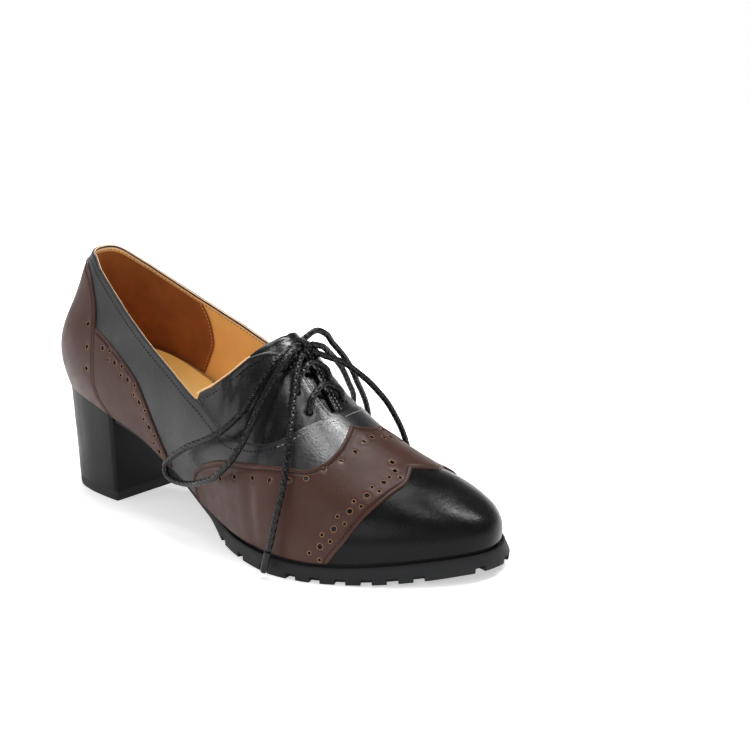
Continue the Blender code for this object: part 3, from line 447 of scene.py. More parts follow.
def from_flat(place, flat):
    keys, across, length = FLAT_PLANS[place]
    i, s = between(keys, flat[:, 0])
    rows = length[i] * (1 - s)[:, None] + length[i + 1] * s[:, None]
    j = np.clip(np.sum(rows <= flat[:, 1:2], axis=1) - 1, 0, len(across) - 2)
    each = np.arange(len(flat))
    t = np.clip((flat[:, 1] - rows[each, j]) / (rows[each, j + 1] - rows[each, j]), 0, 1)
    return np.stack([flat[:, 0], across[j] + t * (across[1] - across[0])], axis=1)


# Creases over the vamp: start x, start across, end x, end across, half width, depth
CREASES = (
    (146.0, -42.0, 152.0, -60.0, 3.6, -1.0),
    (151.5, -42.0, 157.5, -60.0, 3.2, 0.4),
    (136.0, -47.0, 140.0, -59.0, 4.5, -0.3),
    (166.0, -36.0, 170.0, -50.0, 5.0, -0.25),
    (120.0, -46.0, 127.0, -36.0, 3.6, -0.35),
    (112.0, -46.0, 117.0, -37.0, 3.6, -0.3),
    (146.0, 40.0, 152.0, 58.0, 4.0, -0.55),
    (136.0, 44.0, 140.0, 58.0, 4.5, -0.3),
    (122.0, 44.0, 127.0, 34.0, 3.6, -0.3),
)


def relief(place, pattern):
    """Soft creases of the vamp, as a lift for each point of a pattern."""
    if place is not over_vamp:
        return np.zeros(len(pattern))
    total = np.zeros(len(pattern))
    for x0, w0, x1, w1, width, depth in CREASES:
        start, run = np.array((x0, w0)), np.array((x1 - x0, w1 - w0))
        along = np.clip((pattern - start) @ run / (run @ run), 0, 1)
        gap = np.linalg.norm(pattern - start - along[:, None] * run, axis=1)
        fade = np.sin(math.pi * np.clip(0.12 + 0.76 * along, 0, 1))
        total += depth * fade * np.exp(-(gap / width) ** 2)
    return total


# Making objects

def world(points):
    """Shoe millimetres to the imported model's metres."""
    return (np.asarray(points, float) + SHIFT) * MM


def add_mesh(name, points, faces, materials, slots=None):
    """A mesh piece that rides on the shoe, from points in shoe millimetres."""
    mesh = bpy.data.meshes.new(name)
    mesh.from_pydata([tuple(p) for p in world(points)], [], [tuple(map(int, f)) for f in faces])
    for material in materials:
        mesh.materials.append(material)
    if slots is not None:
        mesh.polygons.foreach_set("material_index", np.asarray(slots, np.int32))
    mesh.polygons.foreach_set("use_smooth", np.full(len(mesh.polygons), True))
    obj = bpy.data.objects.new(name, mesh)
    bpy.context.scene.collection.objects.link(obj)
    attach(obj, "root")
    return obj


def weld(obj, distance):
    """Join points that coincide and drop the faces that vanish."""
    bm = bmesh.new()
    bm.from_mesh(obj.data)
    bmesh.ops.remove_doubles(bm, verts=bm.verts, dist=distance * MM)
    bmesh.ops.dissolve_degenerate(bm, edges=bm.edges, dist=distance * MM)
    bm.to_mesh(obj.data)
    bm.free()


def bevel(obj, width, angle, segments):
    modifier = obj.modifiers.new("edges", "BEVEL")
    modifier.width = width * MM
    modifier.limit_method = "ANGLE"
    modifier.angle_limit = math.radians(angle)
    modifier.segments = segments
    modifier.harden_normals = True


def grid_faces(columns, rows, closed, first=0):
    """Quads of a grid stored column by column."""
    faces = []
    for i in range(columns if closed else columns - 1):
        j = (i + 1) % columns
        for k in range(rows - 1):
            faces.append((first + i * rows + k, first + j * rows + k,
                          first + j * rows + k + 1, first + i * rows + k + 1))
    return faces


def merged(name, tubes, material):
    """One piece from several tubes, each given by its points and faces."""
    vertices, faces, first = [], [], 0
    for points, faces_of_one in tubes:
        vertices.append(points)
        faces += [tuple(first + i for i in face) for face in faces_of_one]
        first += len(points)
    return add_mesh(name, np.concatenate(vertices), faces, [material])


def tube_faces(rings, around):
    """Quads of a tube stored ring by ring, and its two end faces."""
    faces = []
    for i in range(rings - 1):
        for k in range(around):
            j = (k + 1) % around
            faces.append((i * around + k, i * around + j, (i + 1) * around + j, (i + 1) * around + k))
    faces.append(tuple(range(around))[::-1])
    faces.append(tuple((rings - 1) * around + k for k in range(around)))
    return faces


# Materials

def node(tree, kind, **inputs):
    made = tree.nodes.new(kind)
    for name, value in inputs.items():
        made.inputs[name.replace("_", " ")].default_value = value
    return made


def surface(name, colour, roughness, coat=0.0, coat_roughness=0.2, sheen=0.0, specular=0.5):
    """A Principled material, its tree, its shader and its object coordinates."""
    material = bpy.data.materials.new(name)
    material.use_nodes = True
    tree = material.node_tree
    shader = tree.nodes["Principled BSDF"]
    shader.inputs["Base Color"].default_value = (*colour, 1.0)
    shader.inputs["Roughness"].default_value = roughness
    shader.inputs["Specular IOR Level"].default_value = specular
    shader.inputs["Coat Weight"].default_value = coat
    shader.inputs["Coat Roughness"].default_value = coat_roughness
    shader.inputs["Sheen Weight"].default_value = sheen
    place = tree.nodes.new("ShaderNodeTexCoord").outputs["Object"]
    return material, tree, shader, place


def texture(tree, place, kind, **inputs):
    """A texture node that reads the object's own coordinates."""
    made = node(tree, "ShaderNodeTex" + kind, **inputs)
    tree.links.new(place, made.inputs["Vector"])
    return made


def ramp(tree, value, low_at, low, high_at, high):
    """Colours that change with a value."""
    made = tree.nodes.new("ShaderNodeValToRGB")
    for element, position, colour in zip(made.color_ramp.elements, (low_at, high_at), (low, high)):
        element.position = position
        element.color = colour
    tree.links.new(value, made.inputs["Fac"])
    return made.outputs["Color"]


def rescaled(tree, value, from_min, from_max, to_min, to_max):
    """A value brought from one range to another."""
    made = node(tree, "ShaderNodeMapRange", From_Min=from_min, From_Max=from_max,
                To_Min=to_min, To_Max=to_max)
    tree.links.new(value, made.inputs["Value"])
    return made


def bumped(tree, height, strength, distance):
    """Add a bump to a material's surface, over those that it has."""
    normal = tree.nodes["Principled BSDF"].inputs["Normal"]
    bump = node(tree, "ShaderNodeBump", Strength=strength, Distance=distance)
    tree.links.new(height, bump.inputs["Height"])
    if normal.is_linked:
        tree.links.new(normal.links[0].from_socket, bump.inputs["Normal"])
    tree.links.new(bump.outputs["Normal"], normal)


def vary(tree, place, scale, low, high, detail=3.0):
    """Noise between two colours or values, for a socket that changes over the surface."""
    noise = texture(tree, place, "Noise", Scale=scale, Detail=detail)
    return ramp(tree, noise.outputs["Fac"], 0.3, low, 0.72, high)


def grey(value):
    return (value, value, value, 1.0)


def leather(name, colour, deep, roughness, grain, wrinkle=0.0, **options):
    """Leather with two tones, a pebbled grain, fine wrinkles and an uneven shine."""
    material, tree, shader, place = surface(name, colour, roughness, **options)
    tree.links.new(vary(tree, place, 45.0, (*deep, 1.0), (*colour, 1.0)), shader.inputs["Base Color"])
    tree.links.new(vary(tree, place, 160.0, grey(roughness - 0.06), grey(roughness + 0.07)),
                   shader.inputs["Roughness"])
    cells = texture(tree, place, "Voronoi", Scale=1050.0)
    cells.feature = "SMOOTH_F1"
    bumped(tree, cells.outputs["Distance"], grain, 0.00018)
    if wrinkle:
        stretch = node(tree, "ShaderNodeMapping", Rotation=(0.5, 0.3, 0.6), Scale=(1.0, 0.35, 1.0))
        tree.links.new(place, stretch.inputs["Vector"])
        lines = texture(tree, stretch.outputs["Vector"], "Noise", Scale=260.0, Detail=5.0, Distortion=1.2)
        bumped(tree, lines.outputs["Fac"], wrinkle, 0.0009)
    return material


def moulded(name, colour, roughness, speckle, specular):
    """Rubber or lacquer with a faint moulded texture."""
    material, tree, shader, place = surface(name, colour, roughness, specular=specular)
    tree.links.new(vary(tree, place, 90.0, grey(roughness - 0.05), grey(roughness + 0.06)),
                   shader.inputs["Roughness"])
    bumped(tree, texture(tree, place, "Noise", Scale=1500.0, Detail=2.0).outputs["Fac"], speckle, 0.0001)
    return material


def suede(name, colour, deep):
    """Napped leather with soft mottling and a dusty sheen."""
    material, tree, shader, place = surface(name, colour, 0.85, sheen=0.08, specular=0.15)
    tree.links.new(vary(tree, place, 70.0, (*deep, 1.0), (*colour, 1.0), 6.0), shader.inputs["Base Color"])
    bumped(tree, texture(tree, place, "Noise", Scale=2600.0, Detail=3.0).outputs["Fac"], 0.35, 0.0002)
    return material


def thread(name, colour, roughness, specular=0.5):
    """Twisted thread or cord with a fine fibre grain."""
    material, tree, _, place = surface(name, colour, roughness, specular=specular)
    bumped(tree, texture(tree, place, "Noise", Scale=4200.0, Detail=2.0).outputs["Fac"], 0.3, 0.00008)
    return material


def polished(material, spot, reach, shine):
    """Raise a material's reflection to a shine round a spot, in metres."""
    tree = material.node_tree
    specular = tree.nodes["Principled BSDF"].inputs["Specular IOR Level"]
    away = tree.nodes.new("ShaderNodeVectorMath")
    away.operation = "DISTANCE"
    away.inputs[1].default_value = spot
    tree.links.new(tree.nodes["Texture Coordinate"].outputs["Object"], away.inputs[0])
    fade = rescaled(tree, away.outputs["Value"], 0.0, reach, shine, specular.default_value)
    fade.interpolation_type = "SMOOTHSTEP"
    tree.links.new(fade.outputs["Result"], specular)
    return material


def painted_glints(material, colour):
    """Scatter small light dots over a cord's colour: painted glints where its braid would catch the light."""
    tree = material.node_tree
    base = tree.nodes["Principled BSDF"].inputs["Base Color"]
    place = tree.nodes["Texture Coordinate"].outputs["Object"]
    cells = texture(tree, place, "Voronoi", Scale=1500.0, Randomness=0.4)
    tree.links.new(ramp(tree, cells.outputs["Distance"], 0.16, colour, 0.3, base.default_value), base)
    return material


def make_materials():
    lace = thread("waxed_lace", (0.004, 0.004, 0.0045), 0.24, specular=0.22)
    black = leather("black_leather", (0.011, 0.0115, 0.013), (0.006, 0.006, 0.007), 0.31, 0.34,
                    specular=0.36)
    return {
        "black": polished(black, (0.055, -0.016, 0.05), 0.032, 1.0),
        "cap": leather("cap_leather", (0.007, 0.007, 0.0075), (0.004, 0.004, 0.0045), 0.26, 0.22,
                       wrinkle=0.06, specular=0.11),
        "gloss": leather("gloss_leather", (0.005, 0.005, 0.0055), (0.003, 0.003, 0.0035), 0.27, 0.1,
                         wrinkle=0.2, coat=0.12, coat_roughness=0.14, specular=0.25),
        "brown": leather("brown_leather", (0.054, 0.0205, 0.0145), (0.039, 0.0145, 0.01), 0.42, 0.2,
                         wrinkle=0.05, specular=0.22),
        "raw": leather("raw_edge", (0.33, 0.17, 0.08), (0.2, 0.1, 0.045), 0.7, 0.2, specular=0.2),
        "lining": leather("tan_lining", (0.86, 0.5, 0.18), (0.77, 0.42, 0.14), 0.5, 0.12, specular=0.3),
        "insole": leather("tan_insole", (1.0, 0.7, 0.26), (0.96, 0.62, 0.21), 0.48, 0.12, specular=0.3),
        "strip": leather("raw_rim", (0.85, 0.6, 0.38), (0.76, 0.5, 0.29), 0.6, 0.12, specular=0.2),
        "suede": suede("heel_suede", (0.3, 0.094, 0.023), (0.22, 0.064, 0.014)),
        "rubber": moulded("black_rubber", (0.0105, 0.011, 0.012), 0.58, 0.3, specular=0.18),
        "heel": moulded("heel_lacquer", (0.0045, 0.0047, 0.0053), 0.34, 0.12, specular=0.1),
        # The lace's light dots are painted glints of its braid
        "lace": painted_glints(lace, grey(0.07)),
        "aglet": moulded("aglet_plastic", (0.008, 0.008, 0.009), 0.34, 0.05, specular=0.25),
        "thread_black": thread("black_thread", (0.004, 0.004, 0.005), 0.45, specular=0.08),
        "thread_light": thread("grey_thread", (0.24, 0.24, 0.23), 0.5),
        "thread_brown": thread("brown_thread", (0.014, 0.006, 0.005), 0.5, specular=0.15),
        "thread_tan": thread("tan_thread", (0.2, 0.085, 0.025), 0.6),
        "thread_pale": thread("pale_thread", (0.55, 0.3, 0.15), 0.6),
    }


# Panels with folded edges and punched holes

HOLE_POINTS = 12
HOLE_DEPTH = 1.3
HOLE_SINK = 0.16
RAW_RING = 0.22
# Height of a folded edge: distance from the edge, height
FOLD = (
    (0.0, -0.3), (0.1, 0.45), (0.3, 0.85), (0.6, 1.0), (1.0, 0.95), (1.3, 0.66), (1.6, 0.24), (1.9, 0.5),
    (2.3, 0.77), (3.0, 0.82),
)
GROOVE = 1.6
GROOVE_LIFT = 0.34
# Height of a cut edge, and of a sheet with no shaped edge
CUT = ((0.0, -1.5), (0.15, -0.5), (0.4, -0.12), (0.8, 0.0), (1.5, 0.02), (1.9, -0.1), (2.4, 0.0))
PLAIN = ((0.0, 0.0), (1.0, 0.0))


def inside(polygon, points):
    """Which points lie inside a closed polygon."""
    x, y = points[:, 0:1], points[:, 1:2]
    ax, ay = polygon[:, 0], polygon[:, 1]
    bx, by = np.roll(ax, -1), np.roll(ay, -1)
    crosses = (ay > y) != (by > y)
    rise = np.where(by == ay, 1.0, by - ay)
    return (np.sum(crosses & (x < ax + (y - ay) / rise * (bx - ax)), axis=1) % 2).astype(bool)


def gap_to(line, points, closed):
    """Distance from points to a polyline."""
    start = line if closed else line[:-1]
    run = (np.roll(line, -1, 0) if closed else line[1:]) - start
    square = np.maximum(np.sum(run * run, axis=1), 1e-9)
    gaps = np.empty(len(points))
    for first in range(0, len(points), 2000):
        part = points[first:first + 2000, None] - start[None]
        t = np.clip(np.sum(part * run, axis=2) / square, 0, 1)
        gaps[first:first + 2000] = np.min(np.linalg.norm(part - t[:, :, None] * run, axis=2), axis=1)
    return gaps


def beside(line, distance):
    """A line that runs beside an open one, to its left where distance is positive."""
    moved = line + distance * left_of(np.gradient(line, axis=0))
    return moved[gap_to(line, moved, False) > 0.92 * abs(distance)]


def offset_line(place, line, distance):
    """A pattern line that runs beside another, by a distance on the leather."""
    return from_flat(place, beside(evenly(to_flat(place, line), 0.5), distance))


def stretch_at(place, centre):
    """How a small step in the flat plan stretches on the leather."""
    step = 0.2
    steps = np.array([(0.0, 0.0), (step, 0.0), (0.0, step)])
    spots = place(from_flat(place, centre + steps))
    slopes = (spots[1:] - spots[0]) / step
    values, vectors = np.linalg.eigh(slopes @ slopes.T)
    return vectors @ np.diag(np.sqrt(values)) @ vectors.T


def hole_ring(hole, grow=0.0):
    """Flat points round a hole that is a circle on the leather."""
    centre, radius, stretch = hole
    turn = np.linspace(0, 2 * math.pi, HOLE_POINTS, endpoint=False)
    circle = (radius + grow) * np.stack([np.cos(turn), np.sin(turn)], axis=1)
    return centre + circle @ np.linalg.inv(stretch)


def from_hole(hole, points):
    """Distance on the leather from a hole's centre."""
    centre, _, stretch = hole
    return np.linalg.norm((points - centre) @ stretch, axis=1)


def panel_points(outline, holes, spacing):
    """Points inside a panel: rows beside its edge, rings round its holes and a staggered grid."""
    inward = left_of(np.roll(outline, -1, 0) - np.roll(outline, 1, 0))
    if not inside(outline, (outline + 0.05 * inward)[:1])[0]:
        inward = -inward
    found = []
    for offset, _ in FOLD[1:]:
        row = outline + offset * inward
        found.append(row[inside(outline, row) & (gap_to(outline, row, True) > 0.9 * offset)])
    low, high = outline.min(0), outline.max(0)
    rows = np.arange(low[1], high[1], spacing * 0.87)
    along_rows = [np.arange(low[0] + (k % 2) * spacing / 2, high[0], spacing) for k in range(len(rows))]
    grid = np.concatenate([np.column_stack([x, np.full(len(x), y)]) for x, y in zip(along_rows, rows)])
    grid = grid[inside(outline, grid)]
    found.append(grid[gap_to(outline, grid, True) > FOLD[-1][0] + spacing / 2])
    points = np.concatenate(found)
    for hole in holes:
        points = points[from_hole(hole, points) > hole[1] + 1.1]
    rings = [hole_ring(hole, grow) for hole in holes for grow in (0.25, 0.7)]
    return np.concatenate([points, *rings])


def hole_wall(hole, flat, first):
    """Rim points of a hole in order round it, and the faces of the wall under them."""
    rim = np.flatnonzero(np.abs(from_hole(hole, flat) - hole[1]) < 0.02)
    offset = flat[rim] - hole[0]
    rim = rim[np.argsort(np.arctan2(offset[:, 1], offset[:, 0]))]
    after = np.roll(np.arange(len(rim)), -1)
    return rim, [(rim[i], first + i, first + j, rim[j]) for i, j in enumerate(after)]


def panel(name, place, outline, materials, lift=0.0, profile=FOLD, holes=(), spacing=2.6, ripple=None,
          folds=None):
    """A leather sheet laid on the last, its edge or the given folds shaped, with holes through it."""
    outline = evenly(to_flat(place, np.vstack([outline, outline[:1]])), 0.8)[:-1]
    centres = [to_flat(place, [centre])[0] for centre, _ in holes]
    holes = [(flat, radius, stretch_at(place, flat)) for flat, (_, radius) in zip(centres, holes)]
    loops = [outline] + [hole_ring(hole) for hole in holes]
    edges, start = [], 0
    for loop in loops:
        edges += [(start + i, start + (i + 1) % len(loop)) for i in range(len(loop))]
        start += len(loop)
    points = np.concatenate([*loops, panel_points(outline, holes, spacing)])
    made = delaunay_2d_cdt([Vector(p) for p in points], edges, [], 0, 1e-5)
    flat, triangles = np.array([tuple(v) for v in made[0]]), np.array(made[2])
    middles = flat[triangles].mean(1)
    keep = inside(outline, middles)
    near_hole = np.zeros(len(triangles), bool)
    if folds is None:
        from_edge = gap_to(outline, flat, True)
    else:
        from_edge = np.min([gap_to(evenly(to_flat(place, line), 0.5), flat, False) for line in folds], axis=0)
    pattern = from_flat(place, flat)
    height = np.interp(from_edge, *zip(*profile)) + lift + relief(place, pattern)
    if ripple is not None:
        height += ripple(pattern)
    for hole in holes:
        from_middle = from_hole(hole, middles)
        keep &= from_middle > hole[1] * 0.97
        near_hole |= from_middle < hole[1] + RAW_RING
        height -= HOLE_SINK * np.clip(1.4 - (from_hole(hole, flat) - hole[1]) / 0.5, 0, 1)
    vertices = [lifted(place, pattern, height)]
    faces, slots = list(map(tuple, triangles[keep])), list(near_hole[keep].astype(int))
    count = len(flat)
    for hole in holes:
        rim, wall = hole_wall(hole, flat, count)
        vertices.append(lifted(place, pattern[rim], height[rim] - HOLE_DEPTH))
        faces += wall
        slots += [2] * len(wall)
        count += len(rim)
    return add_mesh(name, np.concatenate(vertices), faces, materials, slots)


# Stitches

# Sizes of a stitch: pitch, length, radius
FINE_STITCH = (1.7, 1.2, 0.2)
EDGE_STITCH = (1.9, 1.3, 0.24)
THROAT_STITCH = (1.9, 1.3, 0.22)
SLIT_STITCH = (2.0, 1.4, 0.2)
STRIP_STITCH = (2.1, 1.3, 0.2)
LINING_STITCH = (1.9, 1.2, 0.22)
# Stitches end this far from the upper's lower edge
FOOT_MARGIN = 1.0


def stitch_mesh(length, radius):
    """Points and faces of one stitch along x, with rounded ends that dip into the leather."""
    around, stations = 6, np.linspace(-1, 1, 6)
    turn = 2 * math.pi * np.arange(around) / around
    rings = []
    for t in stations:
        size = radius * math.sqrt(max(1 - t ** 4, 0.04))
        rings.append(np.stack([np.full(around, t * length / 2), size * np.cos(turn),
                               size * np.sin(turn) - 0.5 * radius * t * t], axis=1))
    return np.concatenate(rings), tube_faces(len(stations), around)


def above_feather(place, pattern):
    """Which points of a pattern lie clear of the upper's lower edge."""
    if place is over_vamp:
        return np.abs(pattern[:, 1]) < HALF_WRAP - FOOT_MARGIN
    return pattern[:, 1] > FOOT_MARGIN


def stitches(name, rows, material, size):
    """Rows of stitches of one size; each row is a place, a pattern line and a lift."""
    pitch, length, radius = size
    shape, shape_faces = stitch_mesh(length, radius)
    reach = 0.4
    tubes = []
    for place, line, lift in rows:
        line = evenly(np.asarray(line, float), 0.5)
        line = line[above_feather(place, line)]
        points = lifted(place, line, lift + relief(place, line))
        along = lengths_along(points)
        if along[-1] < pitch:
            continue
        middles = np.arange(pitch / 2, along[-1], pitch)
        tangents = unit(at_length(points, middles + reach) - at_length(points, middles - reach))
        sides = unit(np.cross(read_along(along, normals_of(place, line), middles), tangents))
        frames = np.stack([tangents, sides, np.cross(tangents, sides)], axis=1)
        tubes += [(at + shape @ frame, shape_faces) for at, frame in zip(at_length(points, middles), frames)]
    merged(name, tubes, material)


# Upper, lining and insole

UPPER_ROWS = 44
# The cap's own leather starts here, under the wing
CAP_BACK = 180.0
# Rim of the upper: turns of its rolled edge, drops of the strip inside it, its materials at the collar
RIM_TURNS = (30, 60, 90, 120, 150, 180)
RIM_DROPS = (0.8, 1.8, 3.0)
RIM_SLOTS = (0, 0, 0, 2, 0, 0, 2, 3, 3)
TOPLINE_COLUMN = {LATERAL: 1, MEDIAL: 2}


def upper_columns():
    """Feather points round the upper from the heel's back, the rise of each top edge, and if it is open."""
    columns = {}
    for side in SIDES:
        half = FEATHER_HALF[side]
        heel = at_length(half, np.linspace(0, arc_at_x(side, HEEL_AXIS), 26)[:-1])
        back = np.concatenate([heel, foot_at_x(side, np.linspace(HEEL_AXIS, THROAT_SEAM[0][0], 40))])
        seam_x = curve_through(THROAT_SEAM, 5)[1:-1, 0]
        throat = foot_at_x(side, seam_x)
        vamp = foot_at_x(side, np.linspace(THROAT_FRONT, TOE_AXIS, 24))
        toe = at_length(half, np.linspace(arc_at_x(side, TOE_AXIS), lengths_along(half)[-1], 26)[1:])
        top_z = smooth(TOPLINE, TOPLINE_COLUMN[side], back[:, 0]) - 0.8
        seam_rise = 1 - (smooth(THROAT_SEAM, 1, seam_x) + side * LACING_AXIS) / HALF_WRAP
        closed = len(vamp) + len(toe)
        rises = np.concatenate([rise_at_height(back, top_z), seam_rise, np.ones(closed)])
        is_open = np.concatenate([np.ones(len(back) + len(throat) + 1, bool), np.zeros(closed - 1, bool)])
        columns[side] = (np.concatenate([back, throat, vamp, toe]), rises, is_open)
    return [np.concatenate([columns[LATERAL][k], columns[MEDIAL][k][-2:0:-1]]) for k in range(3)]


def upper_grid():
    """Outer surface of the upper with its normals, column by column."""
    feet, tops, is_open = upper_columns()
    shares = np.linspace(0, 1, UPPER_ROWS)
    grid = np.stack([section(feet, tops * share) for share in shares], axis=1)
    around = np.roll(grid, -1, 0) - np.roll(grid, 1, 0)
    normal = np.cross(around, np.gradient(grid, axis=1))
    size = np.linalg.norm(normal, axis=2, keepdims=True)
    normal = np.where(size > 1e-6, normal / np.maximum(size, 1e-9), 0.0)
    normal[:, -1] = np.where(is_open[:, None], normal[:, -1], normal[:, -2])
    side = np.where(feet[:, 1] < smooth(SECTIONS, RIDGE_Y, np.clip(feet[:, 0], HEEL_AXIS, TOE_AXIS)), -1, 1)
    for k, share in enumerate(shares):
        pattern = np.stack([feet[:, 0], side * HALF_WRAP * (1 - tops * share)], axis=1)
        grid[:, k] += normal[:, k] * relief(over_vamp, pattern)[:, None]
    return grid, normal, is_open, feet


def rim_points(top, up, out):
    """Edge rolled over the wall of the upper, and a strip down its inside."""
    roll = WALL / 2
    rolled = [top + out * roll * (math.cos(turn) - 1) + up * roll * math.sin(turn)
              for turn in np.radians(RIM_TURNS)]
    strip = [top - out * (WALL + 0.05) - up * drop for drop in RIM_DROPS]
    return np.stack([top, *rolled, *strip], axis=1)


def make_upper(materials):
    grid, normal, is_open, feet = upper_grid()
    columns, rows = grid.shape[:2]
    outer = grid.reshape(-1, 3)
    faces = grid_faces(columns, rows, True)
    slots = [int(outer[list(face), 0].mean() > CAP_BACK) for face in faces]
    open_run = np.flatnonzero(is_open)
    start = np.flatnonzero(np.diff(open_run) > 1)[0] + 1
    run = np.roll(open_run, -start)
    top = grid[run, -1]
    rim = rim_points(top, unit(top - grid[run, -2]), normal[run, -1])
    for column in run[:-1]:
        at_collar = feet[column, 0] < THROAT_SEAM[0][0]
        slots += RIM_SLOTS if at_collar else [0] * len(RIM_SLOTS)
    obj = add_mesh("upper_leather", np.concatenate([outer, rim.reshape(-1, 3)]),
                   faces + grid_faces(len(run), rim.shape[1], False, len(outer)),
                   [materials["black"], materials["cap"], materials["strip"], materials["lining"]], slots)
    weld(obj, 0.01)
    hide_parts("upper")
    lining = add_mesh("lining", (grid - normal * WALL).reshape(-1, 3), [face[::-1] for face in faces],
                      [materials["lining"]])
    weld(lining, 0.01)


LINING_DROP = 2.6
LINING_LIFT = -WALL - 0.35
LINING_SEAM = 1.6


def make_heel_lining(materials):
    outline, seams = [], []
    for side in SIDES:
        edge = curve_through(heel_pattern(HEEL_LINING, side), 6)
        edge[:, 1] = np.minimum(edge[:, 1], collar_line(edge[:, 0], LINING_DROP)[:, 1])
        low = curve_through(heel_pattern(HEEL_LINING_FOOT, side), 8)
        outline.append(np.vstack([edge, low[1:]]))
        seams.append((round_heel, edge + (side * LINING_SEAM, 0), LINING_LIFT - 0.1))
    reach = HEEL_LINING[0][0]
    top = collar_line(np.linspace(-reach, reach, 60)[1:-1], LINING_DROP)
    obj = panel("heel_lining", round_heel, joined([top, outline[0], outline[1][::-1]]), [materials["suede"]],
                LINING_LIFT, PLAIN, spacing=4.0)
    obj.data.flip_normals()
    stitches("heel_lining_stitches", seams, materials["thread_pale"], LINING_STITCH)


def collar_rise(arc, drop):
    """Rise of the line that runs a drop under the top line, at an arc round the heel."""
    side = LATERAL if arc > 0 else MEDIAL
    foot = at_length(FEATHER_HALF[side], np.abs([arc]))
    return rise_at_height(foot, smooth(TOPLINE, TOPLINE_COLUMN[side], foot[:, 0]) - drop)[0]


def collar_line(arcs, drop):
    """Pattern round the heel of the line that runs a drop under the top line."""
    return np.array([(arc, collar_rise(arc, drop) * RISE_WRAP) for arc in arcs])


def topline_pattern(side, drop):
    """Line a drop under the top line, from the heel's back to the throat on one side."""
    return collar_line(-side * np.linspace(0.0, arc_at_x(side, THROAT_SEAM[0][0]), 80), drop)


# Sock over the insole: distance in from the wall and share of the cup; x and depth of the cup
SOCK_RINGS = ((0.2, 1.0), (1.2, 0.78), (3.0, 0.5), (5.5, 0.2), (9.0, 0.04), (12.0, 0.0))
SOCK_CUP = ((0, 10.5), (30, 10.0), (60, 8.0), (110, 3.0), (235, 1.0))
SOCK_LIFT = 2.4


def make_insole(materials):
    halves = {}
    for side in SIDES:
        half = FEATHER_HALF[side]
        halves[side] = at_length(half, np.linspace(1.5, lengths_along(half)[-1] - 1.5, 90))
    edge = there_and_back(halves)
    cup = np.interp(edge[:, 0], *zip(*SOCK_CUP))
    rings = []
    for distance, share in SOCK_RINGS:
        ring = inset(edge, WALL + distance)
        rings.append(np.column_stack([ring, smooth(SEAT, 1, ring[:, 0]) + SOCK_LIFT + cup * share]))
    obj = loft("insole_sock", rings, [materials["insole"]], bottom=True)
    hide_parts("insole")


# Overlays

def both_sides(edge, axis):
    """A lateral edge over the vamp, and its mirror image squeezed to fit the medial side."""
    lateral = np.array(edge, float)
    squeeze = (HALF_WRAP - axis) / (HALF_WRAP + axis)
    medial = np.stack([lateral[:, 0], axis + (axis - lateral[:, 1]) * squeeze], axis=1)
    return lateral, medial


def joined(runs):
    """One closed outline from runs that follow each other, without doubled points."""
    line = np.concatenate(runs)
    step = np.linalg.norm(line - np.roll(line, 1, 0), axis=1)
    return line[step > 0.05]


def hole_places(place, line, pitch, start):
    """Points every pitch along a pattern line, measured on the leather."""
    flat = to_flat(place, line)
    return from_flat(place, at_length(flat, np.arange(start, lengths_along(flat)[-1] - 2.0, pitch)))


def brogue(place, line, pitch, start, spread, towards):
    """Large holes along a line beside an edge, with a pair of small holes between each two."""
    large = [(p, LARGE_HOLE) for p in hole_places(place, offset_line(place, line, towards), pitch, start)]
    small = []
    for offset in (towards - math.copysign(spread, towards), towards + math.copysign(spread, towards)):
        row = offset_line(place, line, offset)
        small += [(p, SMALL_HOLE) for p in hole_places(place, row, pitch, start + pitch / 2)]
    return large + small


def vamp_holes():
    """Centre and radius of each hole of the wing, on both sides."""
    holes = []
    for places, axis, radius in (
            (WING_HOLES, WING_AXIS, WING_HOLE), (CAP_LARGE_HOLES, CAP_AXIS, LARGE_HOLE),
            (CAP_SMALL_HOLES, CAP_AXIS, SMALL_HOLE)):
        lateral, medial = both_sides(places, axis)
        if axis == CAP_AXIS:
            medial[:, 0] -= CAP_MEDIAL_BACK
        centres = np.concatenate([lateral, medial[medial[:, 1] > axis + 1.0]])
        holes += [(centre, radius) for centre in centres]
    return holes


def overlay_leathers(materials):
    """Materials of an overlay: its face, the raw ring of a hole and the wall of a hole."""
    return [materials["brown"], materials["raw"], materials["black"]]


def straight(start, end, count):
    """Points between two others, without them."""
    return start + np.linspace(0, 1, count)[1:-1, None] * (end - start)


